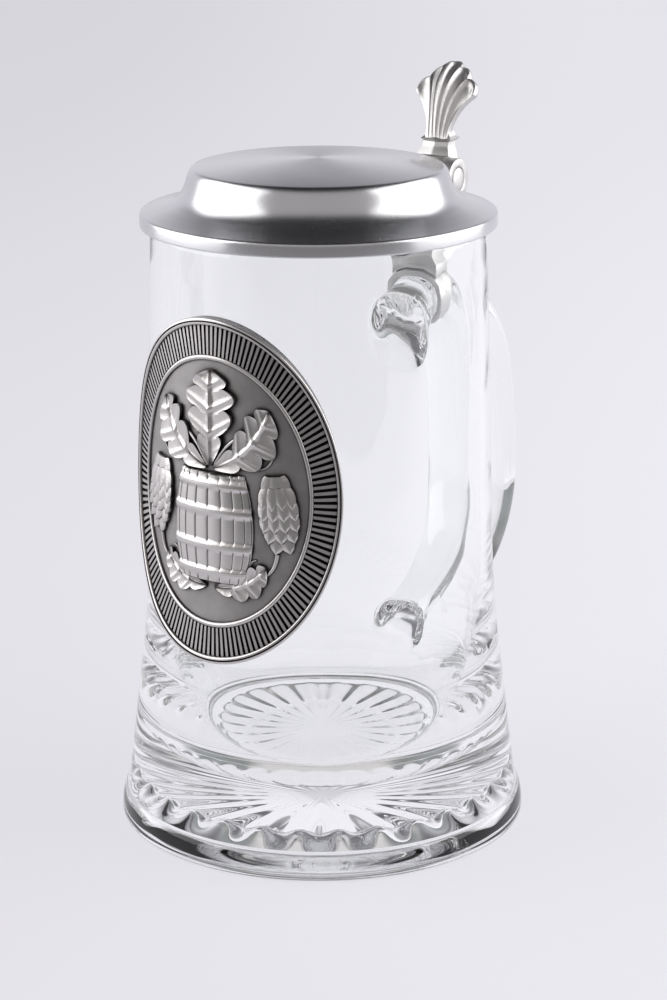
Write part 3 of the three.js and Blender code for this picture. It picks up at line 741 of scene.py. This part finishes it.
def lid_profile(lid):
    """Outside of the lid from the crown to the band, and back along its underside."""
    seat = RIM_HEIGHT + lid.seat_gap
    lip_top = seat + lid.wall
    lip_inner = LIP_RADIUS - lid.lip_round
    band_inner = LIP_RADIUS - lid.band_wall
    lip = curve([(lip_inner, lip_top), (LIP_RADIUS, lip_top), (LIP_RADIUS, lip_top - lid.lip_round)], 6)
    low = BAND_BOTTOM + lid.lip_round / 2
    hem_inner = LIP_RADIUS - lid.lip_round / 2
    hem = curve([(LIP_RADIUS, low), (LIP_RADIUS, BAND_BOTTOM), (hem_inner, BAND_BOTTOM)], 4)
    under = [(band_inner, BAND_BOTTOM), (band_inner, seat), (LIP_RADIUS - 0.007, seat)]
    return (
        crown_profile(lid, 0, 28)
        + [tuple(p) for p in lip + hem]
        + under
        + crown_profile(lid, lid.wall, 16)[::-1]
    )


class MugLid(Operator):
    """Spin the pewter lid with its crown, flange and band"""

    bl_idname = "mug.lid"
    bl_label = "Spun Lid"

    def execute(self, context):
        lid = context.scene.mug_lid
        bm = bmesh.new()
        turned(bm, lid_profile(lid), lid.sides)
        add_piece("spun_lid", finished(bm), spun_pewter(lid), "lid", ("lid",), 50)
        return {"FINISHED"}


# Thumb lift


# Pulls on the shell's curve, as shares of its curl and rise
KEEL_PULL = ((0, 0.58), (0.2, 0.965))
EDGE_PULL = ((0.15, 0.33), (0.6, 0.75))
# Share of the shell at which its tip and edges start to round off
ROUNDED = 0.92


def stem_middle(lift, height):
    """How far behind the pin the leaning stem's middle lies at a height above it."""
    return lift.stem_offset + lift.stem_lean * height


def shell_foot(lift):
    return stem_middle(lift, lift.collar_height) - lift.shell_front


def shell_path(lift, reach):
    """Curve from collar to tip, back from and above the pin; reach is 0 at the keel and 1 at an edge."""

    def mix(keel, edge):
        return keel + (edge - keel) * reach**lift.fold

    foot = Vector((shell_foot(lift), lift.collar_height))
    run = Vector((mix(lift.keel_curl, lift.edge_curl), mix(lift.keel_height, lift.edge_height) - foot.y))
    pulls = [Vector((mix(k[0], e[0]), mix(k[1], e[1]))) for k, e in zip(KEEL_PULL, EDGE_PULL)]
    return [foot, *(foot + pull * run for pull in pulls), foot + run]


def shell_place(lift, across, along, side):
    """Point on the shell: across from -1 to 1, along from collar to tip, side 0 behind and 1 in front."""
    reach = abs(across)
    ridge = abs(2 * ((across + 1) / 2 * lift.flutes % 1) - 1)
    scoop = along**0.6 * (1 - smoothstep(along, lift.flute_end, 1))
    thin = max(0, (along - ROUNDED) / 0.08, (reach - ROUNDED) / 0.1)
    along *= 1 - lift.notch * ridge**2
    spot, run = bezier(shell_path(lift, reach), along)
    width = lift.neck + (lift.width - lift.neck) * along**lift.spread
    depth = lift.wall / 2 * math.sqrt(max(0.02, 1 - thin**2))
    if side > 0.5:
        depth -= lift.flute_depth * scoop * (1 - ridge**4)
    else:
        depth = -depth
    return Vector((across * width / 2, PIN.y + spot.x - run.y * depth, PIN.z + spot.y + run.x * depth))


def stem_place(lift, ring_radius, around, t):
    """Point on the stem: t from the saddle up through the collar into the shell."""
    collar, bead = lift.collar_height, lift.collar_radius
    neck = (lift.collar_width - 2 * bead, lift.stem_depth - 2 * bead)
    levels = [
        (lift.stem_foot, lift.stem_width, lift.stem_depth),
        (ring_radius + bead, lift.collar_width, lift.stem_depth - bead),
        (collar - 2.5 * bead, *neck),
        (collar - bead, *neck),
        (collar, lift.collar_width, lift.stem_depth),
        (collar + bead, *neck),
    ]
    levels = [(*level, stem_middle(lift, level[0])) for level in levels]
    taper = lift.stem_taper
    levels.append((collar + lift.stem_tip, lift.neck * taper, lift.wall * taper, shell_foot(lift)))
    place = min(t * (len(levels) - 1), len(levels) - 1 - 1e-6)
    low, high = levels[int(place)], levels[int(place) + 1]
    height, width, depth, middle = (a + (b - a) * (place % 1) for a, b in zip(low, high))
    x, back = width / 2, middle + depth / 2
    cheek = back - depth + lift.stem_keel
    outline = [(0, back - depth), (x, cheek), (x, back), (-x, back), (-x, cheek)]
    spot = perimeter(outline, around / TURN)
    return Vector((spot[0], PIN.y + spot[1], PIN.z + height))


class MugThumbLift(Operator):
    """Cast the fluted shell with its keel, collar and saddle"""

    bl_idname = "mug.thumb_lift"
    bl_label = "Thumb Lift"

    def execute(self, context):
        lift, hinge = context.scene.mug_lift, context.scene.mug_hinge
        shell = bmesh.new()
        shaped(slab(shell, 96, 40), lambda x, y, z: shell_place(lift, x, y, z))
        stem = bmesh.new()
        verts = rod(stem, 60, 24)
        shaped(verts, lambda x, y, z: stem_place(lift, hinge.ring_radius, math.atan2(y, x), z))
        saddle = bmesh.new()
        radius = hinge.ring_radius + hinge.saddle_gap
        lying = Matrix.Translation(PIN) @ Matrix.Rotation(math.pi / 2, 4, "Y")
        bmesh.ops.create_cone(
            saddle, cap_ends=True, segments=64, radius1=radius, radius2=radius, depth=0.05, matrix=lying
        )
        cast = finished(combined(combined(shell, stem, "UNION"), saddle, "DIFFERENCE"))
        add_piece("thumb_shell", cast, cast_metal(lift), "lid", ("thumb_lift",), 35)
        return {"FINISHED"}


# Hinge


def cast_metal(lift):
    return bpy.data.materials.get("cast_pewter") or cast_pewter(lift)


def rounded_copy(node, edge):
    """Copy of a CAD node's mesh with its sharp edges rounded."""
    bm = bmesh.new()
    bm.from_mesh(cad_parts[node].data)
    bmesh.ops.remove_doubles(bm, verts=bm.verts, dist=1e-6)
    bmesh.ops.dissolve_limit(
        bm, angle_limit=math.radians(1), verts=bm.verts, edges=bm.edges, use_dissolve_boundaries=False
    )
    sharp = [e for e in bm.edges if e.is_manifold and e.calc_face_angle() > math.radians(32)]
    bmesh.ops.bevel(
        bm,
        geom=sharp,
        offset=edge,
        offset_type="OFFSET",
        affect="EDGES",
        segments=3,
        profile=0.5,
        material=-1,
        clamp_overlap=True,
    )
    return bm


HINGE_PIECES = {
    "lid_leaf": ("lid_tang", "lid"),
    "hinge_post": ("hinge_shank", "mug"),
    "arm_clasp": ("handle_band", "mug"),
    "end_cap_left": ("pin_cap_left", "mug"),
    "end_cap_right": ("pin_cap_right", "mug"),
}


class MugHinge(Operator):
    """Round the edges of the hinge's castings, and finish the pin and the medallion's adhesive"""

    bl_idname = "mug.hinge"
    bl_label = "Hinge"

    def execute(self, context):
        hinge, lift = context.scene.mug_hinge, context.scene.mug_lift
        for name, (node, body) in HINGE_PIECES.items():
            bm = rounded_copy(node, hinge.edge)
            add_piece(name, bm, cast_metal(lift), body, (node,), 30)
        for node, material in (("hinge_pin", pin_steel(hinge)), ("medallion_pad", pad_adhesive())):
            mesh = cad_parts[node].data
            mesh.materials.clear()
            mesh.materials.append(material)
        return {"FINISHED"}


# Medallion


def plate_profile(plate):
    """Half section of the plate along its height, from the middle of its back to that of its face."""
    tall = PLATE_HEIGHT / 2
    rim = tall - plate.rim_width
    bead = tall - plate.border
    crest = plate.rim - 0.0001
    rounded = curve([(tall, plate.rim * 0.7), (tall, plate.rim), (tall - 0.0005, plate.rim)], 4)
    groove = curve(
        [(tall - 0.0007, plate.rim), (tall - 0.0009, plate.rim - 0.0012), (tall - 0.0011, crest)], 6
    )
    inner = curve([(tall - 0.0014, crest), (rim, crest), (rim, plate.field)], 5)
    low, high = plate.field, plate.field + 0.0007
    ring = curve([(bead, low), (bead, high), (bead - plate.bead_width / 2, high)], 4)
    ring += curve(
        [
            (bead - plate.bead_width / 2, high),
            (bead - plate.bead_width, high),
            (bead - plate.bead_width, low),
        ],
        4,
    )[1:]
    back = [(tall * step / 8, 0) for step in range(9)]
    border = [(rim + (bead - rim) * step / 4, low) for step in range(1, 4)]
    field = [((bead - plate.bead_width) * (1 - step / 14), low) for step in range(1, 15)]
    return back + [tuple(p) for p in rounded + groove + inner] + border + [tuple(p) for p in ring] + field


def raise_ribs(bm, plate, verts):
    """Raises every other face of the border into a rib that runs out to the rim."""
    tall = PLATE_HEIGHT / 2
    rim, bead = tall - plate.rim_width, tall - plate.border
    border = set()
    for v in verts:
        for face in v.link_faces:
            middle = face.calc_center_median()
            radius = math.hypot(middle.x, middle.y)
            if bead + 1e-5 < radius < rim - 1e-5 and abs(middle.z - plate.field) < 1e-6:
                step = math.floor(math.atan2(middle.y, middle.x) / TURN * 2 * plate.ribs)
                if step % 2 == 0:
                    border.add(face)
    raised = bmesh.ops.extrude_face_region(bm, geom=list(border))["geom"]
    tops = [g for g in raised if isinstance(g, bmesh.types.BMVert)]
    bmesh.ops.translate(bm, vec=(0, 0, plate.rib_rise), verts=tops)
    return verts + tops


# How deep the relief is rooted in the field
ROOT = 0.0003


def on_field(plate, spot, height, z):
    """Point of a relief that is rooted in the field at z 0 and stands to its height at z 1."""
    return Vector((spot.x, spot.y, plate.field - ROOT + (height + ROOT) * z))


def leaf(bm, plate, base, heading, long, wide, lobes, rise, bend=0.0):
    """Oak leaf with round lobes, a midrib and side veins, laid on the field from its stalk."""

    def place(x, y, z):
        lobe = abs(math.sin(math.pi * lobes * y)) ** 0.7
        notched = 1 - 0.42 * (1 - lobe) * smoothstep(y, 0.05, 0.25)
        width = wide / 2 * (0.1 + 0.9 * math.sin(math.pi * y**1.25) ** 0.8) * notched
        turn = heading + bend * (y - 0.3)
        forward = Vector((math.cos(turn), math.sin(turn)))
        side = Vector((-forward.y, forward.x))
        sweep = 0.1 * long * abs(x) * math.sin(math.pi * y)
        spot = Vector(base) + forward * (y * long + sweep) + side * (x * width)
        vein = math.exp(-(((lobes * y - 0.25 * abs(x)) % 1 - 0.35) / 0.11) ** 2) * smoothstep(y, 0.1, 0.2)
        midrib = math.exp(-((x / 0.09) ** 2))
        cupped = 0.5 + 0.3 * abs(x) ** 2 + 0.25 * math.sin(math.pi * y)
        height = rise * (cupped + 0.42 * midrib + 0.22 * vein * (1 - 0.5 * abs(x)))
        return on_field(plate, spot, height, z)

    return shaped(slab(bm, 28, 72), place)


def cone(bm, plate, base, heading, long, wide, rise):
    """Hop cone: rows of pointed bracts that overlap towards its tip."""
    made = []
    forward = Vector((math.cos(heading), math.sin(heading)))
    side = Vector((-forward.y, forward.x))
    rows = 6
    for row in range(rows):
        t = (row + 0.35) / rows
        girth = math.sin(math.pi * (0.14 + 0.8 * t)) ** 0.75
        bracts = (3, 4, 4, 4, 3, 2)[row]
        for bract in range(bracts):
            aside = (2 * (bract + 0.5) / bracts - 1) * 0.82
            crown = math.sqrt(max(0.05, 1 - aside**2))
            middle = Vector(base) + forward * (t * long) + side * (aside * girth * wide / 2)
            size = Vector((long * 0.34, wide * 0.42 * (0.55 + 0.45 * crown)))
            tilt = heading + aside * 0.55
            along = Vector((math.cos(tilt), math.sin(tilt)))
            cross = Vector((-along.y, along.x))

            def place(x, y, z):
                width = size.y / 2 * math.sin(math.pi * (0.16 + 0.84 * y) ** 0.8) ** 0.6
                spot = middle + along * ((y - 0.5) * size.x) + cross * (x * width)
                tip = 0.35 + 0.65 * y
                height = rise * crown * girth * (0.55 + 0.45 * tip) * (1 - 0.25 * x * x)
                height += rise * 0.1 * (1 - abs(x)) + rise * 0.12 * (1 - t)
                return on_field(plate, spot, height, z)

            made += shaped(slab(bm, 6, 8), place)
    return made


def tendril(bm, plate, base, heading, long, curl, thick):
    """Tapered stalk that curls up at its end."""
    steps = 40
    spots = [Vector(base)]
    for step in range(steps):
        turn = heading + curl * (step / steps) ** 2
        spots.append(spots[-1] + Vector((math.cos(turn), math.sin(turn))) * (long / steps))

    def place(x, y, z):
        step = min(steps - 1, int(z * steps))
        part = z * steps - step
        middle = spots[step].lerp(spots[step + 1], part)
        run = (spots[step + 1] - spots[step]).normalized()
        radius = thick / 2 * (1 - 0.55 * z)
        spot = middle + Vector((-run.y, run.x)) * (x * radius)
        return Vector((spot.x, spot.y, plate.field + radius * (0.35 + y)))

    return shaped(rod(bm, 10, steps), place)


def cask(bm, plate, middle, tall, wide, rise):
    """Upright cask: bulging staves with grooves between them, and four hoops."""
    staves = 9

    def place(x, y, z):
        v = 2 * y - 1
        width = wide / 2 * (1 - 0.2 * v * v)
        turn = x * 0.46 * math.pi
        groove = abs(math.sin(turn / (0.92 * math.pi) * staves * math.pi)) ** 0.25
        hoop = max(smoothstep(0.085 - abs(abs(v) - place_of), 0, 0.03) for place_of in (0.32, 0.8))
        height = rise * math.cos(turn) ** 0.8 * (1 - 0.16 * v * v)
        height += 0.00032 * hoop - 0.0003 * (1 - groove) * (1 - hoop)
        chime = smoothstep(1 - abs(v), 0, 0.03)
        aside = math.sin(turn) / math.sin(0.46 * math.pi) * width
        spot = Vector((middle[0] + aside, middle[1] + v * tall / 2))
        return on_field(plate, spot, height * (0.6 + 0.4 * chime), z)

    return shaped(slab(bm, 144, 64), place)


def relief(bm, plate):
    """Cask between hop cones under a crest of oak leaves; every piece stands on the field."""
    cask(bm, plate, (0, -0.0085), 0.0275, 0.0222, 0.0019)
    leaf(bm, plate, (0, 0.007), math.radians(90), 0.0235, 0.0136, 4, 0.0013)
    for side in (-1, 1):
        def mirrored(degrees):
            return math.radians(90 - side * (90 - degrees))

        leaf(bm, plate, (side * 0.0012, 0.0065), mirrored(28), 0.0205, 0.0118, 4, 0.001, side * 0.5)
        leaf(bm, plate, (side * 0.0012, -0.0235), mirrored(4), 0.0145, 0.0078, 4, 0.0009, side * 0.55)
        cone(bm, plate, (side * 0.0164, 0.004), mirrored(-84), 0.0165, 0.0098, 0.0017)
        tendril(bm, plate, (side * 0.0012, 0.0075), mirrored(58), 0.026, -side * 4.4, 0.0012)
        tendril(bm, plate, (side * 0.0168, -0.0135), mirrored(-100), 0.014, -side * 4.6, 0.0011)


def on_glass(glass, plate, x, y, z):
    """Lays a point of the flat medallion on the mug's wall."""
    height = PLATE_MIDDLE + y
    radius = wall_radius(glass, height) + plate.lift + z
    turn = x / wall_radius(glass, PLATE_MIDDLE) - plate.turn
    return Vector((radius * math.sin(turn), -radius * math.cos(turn), height))


class MugMedallion(Operator):
    """Cast the oval medallion with its relief and bend it to the glass"""

    bl_idname = "mug.medallion"
    bl_label = "Medallion"

    def execute(self, context):
        glass, plate = context.scene.mug_glass, context.scene.mug_medallion
        bm = bmesh.new()
        verts = turned(bm, plate_profile(plate), 2 * plate.ribs)
        raise_ribs(bm, plate, verts)
        bmesh.ops.scale(bm, vec=(plate.width / PLATE_HEIGHT, 1, 1), verts=bm.verts)
        relief(bm, plate)
        bmesh.ops.recalc_face_normals(bm, faces=bm.faces)
        rise = bm.verts.layers.float.new("relief")
        for v in bm.verts:
            v[rise] = smoothstep(v.co.z, plate.field, plate.field + 0.0012)
        shaped(bm.verts, lambda x, y, z: on_glass(glass, plate, x, y, z))
        bmesh.ops.translate(bm, vec=AXIS, verts=bm.verts)
        metal = aged_pewter(plate)
        add_piece("medallion_relief", bm, metal, "mug", ("medallion",), 45)
        return {"FINISHED"}


# Stage


# Backdrop's shares of its colour at the left and the right, and the half width over which it changes
BACKDROP_RANGE = (0.97, 1.14)
TABLE_HALF, VIEW_HALF = 0.25, 0.2
TABLE_GAIN, VIEW_GAIN = 1.02, 1.08
# Light through the glass: how much brighter the room looks, and the share of dark room it leaves out
GLASS_GAIN, GLASS_CLEARED = 1.14, 0.1
# Dark cards beside the mug that only the glass shows, in its edges
CARD_TONE, CARD_EDGES, CARD_SHARE = (0.13, 0.15, 0.145), (0.45, 0.85), 0.8
# Table: its radius, where its front end grows dark in metal, and how much of it glows evenly
TABLE_RADIUS, TABLE_END_RUN, TABLE_GLOW = 6, (0.16, 0.36), 0.8
# Softboxes to each side of the camera's line
SOFTBOX_ANGLE, SOFTBOX_DISTANCE = math.radians(92), 0.8
SOFTBOX_WIDTH, SOFTBOX_TALL, SOFTBOX_HEIGHT = 1.16, 1.0, 0.42
SOFTBOX_RADIANCE = 2.0
# Light bounces enough times inside the glass to find its way out
BOUNCES = 24


def round_axis(direction):
    """Level unit vector at an angle round the mug from its front."""
    return Vector((math.sin(direction), -math.cos(direction), 0))


def ray(start, kind):
    return start.node("ShaderNodeLightPath", output=f"Is {kind} Ray")


def backdrop_tone(stage, place, half, gain):
    """Backdrop's colour, lighter to the camera's right; half is how far to each side it changes."""
    aside = place.dot(round_axis(stage.azimuth + math.pi / 2))
    shade, light = (dimmed(stage.backdrop, gain * part) for part in BACKDROP_RANGE)
    return aside.ramp(-half, half).mix(shade, light)


def brightened(tone, gain):
    """Colour as lit, and brighter where it is seen through glass."""
    through = ray(tone, "Transmission")
    gains = through.mix((gain,) * 3, (gain * GLASS_GAIN,) * 3)
    settings = {"data_type": "RGBA", "blend_type": "MULTIPLY"}
    return tone.node("ShaderNodeMix", settings, {0: 1.0, 6: tone, 7: gains}, 2)


def add_floor(stage):
    """Pale table; only its reflection grows dark towards its front end."""
    bm = bmesh.new()
    low = Matrix.Translation(AXIS - CLEARANCE)
    bmesh.ops.create_circle(bm, cap_ends=True, segments=96, radius=TABLE_RADIUS, matrix=low)
    mesh = bpy.data.meshes.new("table")
    bm.to_mesh(mesh)
    bm.free()
    material, start, shader = surface("table_paper")
    shader["Base Color"].default_value = (0.82, 0.815, 0.84, 1)
    shader["Roughness"].default_value = 0.9
    shader["Specular IOR Level"].default_value = 0.1
    mirrored = seen = ray(start, "Glossy")
    for kind in ("Camera", "Transmission"):
        seen = seen.math("MAXIMUM", seen, ray(start, kind))
    place = object_place(start)
    end = place.dot(round_axis(stage.azimuth)).ramp(*TABLE_END_RUN) * mirrored
    lit = brightened(backdrop_tone(stage, place, TABLE_HALF, 1), TABLE_GAIN)
    glow = start.node("ShaderNodeEmission", None, {"Color": end.mix(lit, tuple(stage.table_end))})
    paper = Wire(start.tree, start.tree.nodes["Principled BSDF"].outputs[0])
    both = start.node("ShaderNodeMixShader", None, {0: seen * TABLE_GLOW, 1: paper, 2: glow})
    joined(both, start.tree.nodes["Material Output"].inputs["Surface"])
    mesh.materials.append(material)
    floor = bpy.data.objects.new("table", mesh)
    bpy.context.scene.collection.objects.link(floor)


def add_world(stage):
    """Room that metal and glass reflect: pale behind the mug, dark overhead, lit above the camera."""
    world = bpy.data.worlds.new("studio")
    world.use_nodes = True
    start = Wire(world.node_tree)
    facing = start.node("ShaderNodeTexCoord", output="Generated")
    up = start.node("ShaderNodeSeparateXYZ", None, {0: facing}, "Z")
    forward = facing.dot(round_axis(stage.azimuth))
    pale, dark = tuple(stage.backdrop), tuple(stage.ceiling)
    dusk = dimmed(pale, 0.4)
    behind = up.node(
        "ShaderNodeValToRGB", {"stops": [(0.28, pale), (0.5, dusk), (0.74, dark)]}, {"Fac": up}
    )
    room, fill = tuple(stage.room), tuple(stage.fill)
    before = up.node(
        "ShaderNodeValToRGB",
        {"stops": [(0.02, room), (0.12, fill), (0.70, fill), (0.82, dark)]},
        {"Fac": up},
    )
    tone = forward.ramp(-0.1, 0.4).mix(behind, before)
    through = ray(start, "Transmission")
    seen = (through * GLASS_CLEARED).mix(brightened(tone, 1), pale)
    aside = (1 - forward * forward - up * up).ramp(*CARD_EDGES)
    seen = (aside * through * CARD_SHARE).mix(seen, CARD_TONE)
    lit = backdrop_tone(stage, facing, VIEW_HALF, VIEW_GAIN)
    joined(ray(start, "Camera").mix(seen, lit), world.node_tree.nodes["Background"].inputs["Color"])
    bpy.context.scene.world = world


def add_softbox(name, direction):
    """Rectangular lamp that faces the mug from a direction round it."""
    lamp = bpy.data.lights.new(name, "AREA")
    lamp.shape = "RECTANGLE"
    lamp.size, lamp.size_y = SOFTBOX_WIDTH, SOFTBOX_TALL
    lamp.energy = SOFTBOX_RADIANCE * math.pi * SOFTBOX_WIDTH * SOFTBOX_TALL
    box = bpy.data.objects.new(name, lamp)
    place = AXIS + round_axis(direction) * SOFTBOX_DISTANCE
    place.z = SOFTBOX_HEIGHT
    aim = AXIS + Vector((0, 0, 0.1)) - place
    box.matrix_world = Matrix.Translation(place) @ aim.to_track_quat("-Z", "Y").to_matrix().to_4x4()
    box.visible_camera = box.visible_transmission = False
    bpy.context.scene.collection.objects.link(box)


def add_camera(stage):
    lens = bpy.data.cameras.new("camera")
    lens.lens = stage.lens
    lens.sensor_width = 36
    camera = bpy.data.objects.new("camera", lens)
    place = AXIS + round_axis(stage.azimuth) * stage.distance
    place.z = stage.height
    turn = (
        Matrix.Rotation(stage.azimuth - stage.aside, 4, "Z")
        @ Matrix.Rotation(math.pi / 2 - stage.pitch, 4, "X")
        @ Matrix.Rotation(stage.roll, 4, "Z")
    )
    camera.matrix_world = Matrix.Translation(place) @ turn
    bpy.context.scene.collection.objects.link(camera)
    bpy.context.scene.camera = camera


class MugStage(Operator):
    """Set the table, the studio light and the camera"""

    bl_idname = "mug.stage"
    bl_label = "Stage"

    def execute(self, context):
        stage = context.scene.mug_stage
        add_floor(stage)
        add_world(stage)
        add_softbox("softbox_right", stage.azimuth + SOFTBOX_ANGLE)
        add_softbox("softbox_left", stage.azimuth - SOFTBOX_ANGLE)
        add_camera(stage)
        context.scene.view_settings.view_transform = "Standard"
        for kind in ("max_bounces", "glossy_bounces", "transmission_bounces"):
            setattr(context.scene.cycles, kind, BOUNCES)
        return {"FINISHED"}


# Panel and registration


PIECES = (MugGlass, MugLid, MugThumbLift, MugHinge, MugMedallion, MugStage)

SETTINGS = {
    "mug_glass": MugGlassSettings,
    "mug_handle": MugHandleSettings,
    "mug_lid": MugLidSettings,
    "mug_lift": MugLiftSettings,
    "mug_hinge": MugHingeSettings,
    "mug_medallion": MugMedallionSettings,
    "mug_stage": MugStageSettings,
}


class MugPanel(Panel):
    """Buttons for each piece of the mug and the settings they read"""

    bl_idname = "VIEW3D_PT_mug"
    bl_label = "Lidded Mug"
    bl_space_type = "VIEW_3D"
    bl_region_type = "UI"
    bl_category = "Mug"

    def draw(self, context):
        for piece in PIECES:
            self.layout.operator(piece.bl_idname)
        for name, group in SETTINGS.items():
            box = self.layout.box()
            settings = getattr(context.scene, name)
            for prop in group.__annotations__:
                box.prop(settings, prop)


def register():
    for name, group in SETTINGS.items():
        bpy.utils.register_class(group)
        setattr(bpy.types.Scene, name, PointerProperty(type=group))
    for made in (*PIECES, MugPanel):
        bpy.utils.register_class(made)


def unregister():
    for made in (MugPanel, *PIECES[::-1]):
        bpy.utils.unregister_class(made)
    for name, group in SETTINGS.items():
        delattr(bpy.types.Scene, name)
        bpy.utils.unregister_class(group)


def main():
    register()
    bpy.ops.mug.glass()
    bpy.ops.mug.lid()
    bpy.ops.mug.thumb_lift()
    bpy.ops.mug.hinge()
    bpy.ops.mug.medallion()
    bpy.ops.mug.stage()


if __name__ == "__main__":
    main()
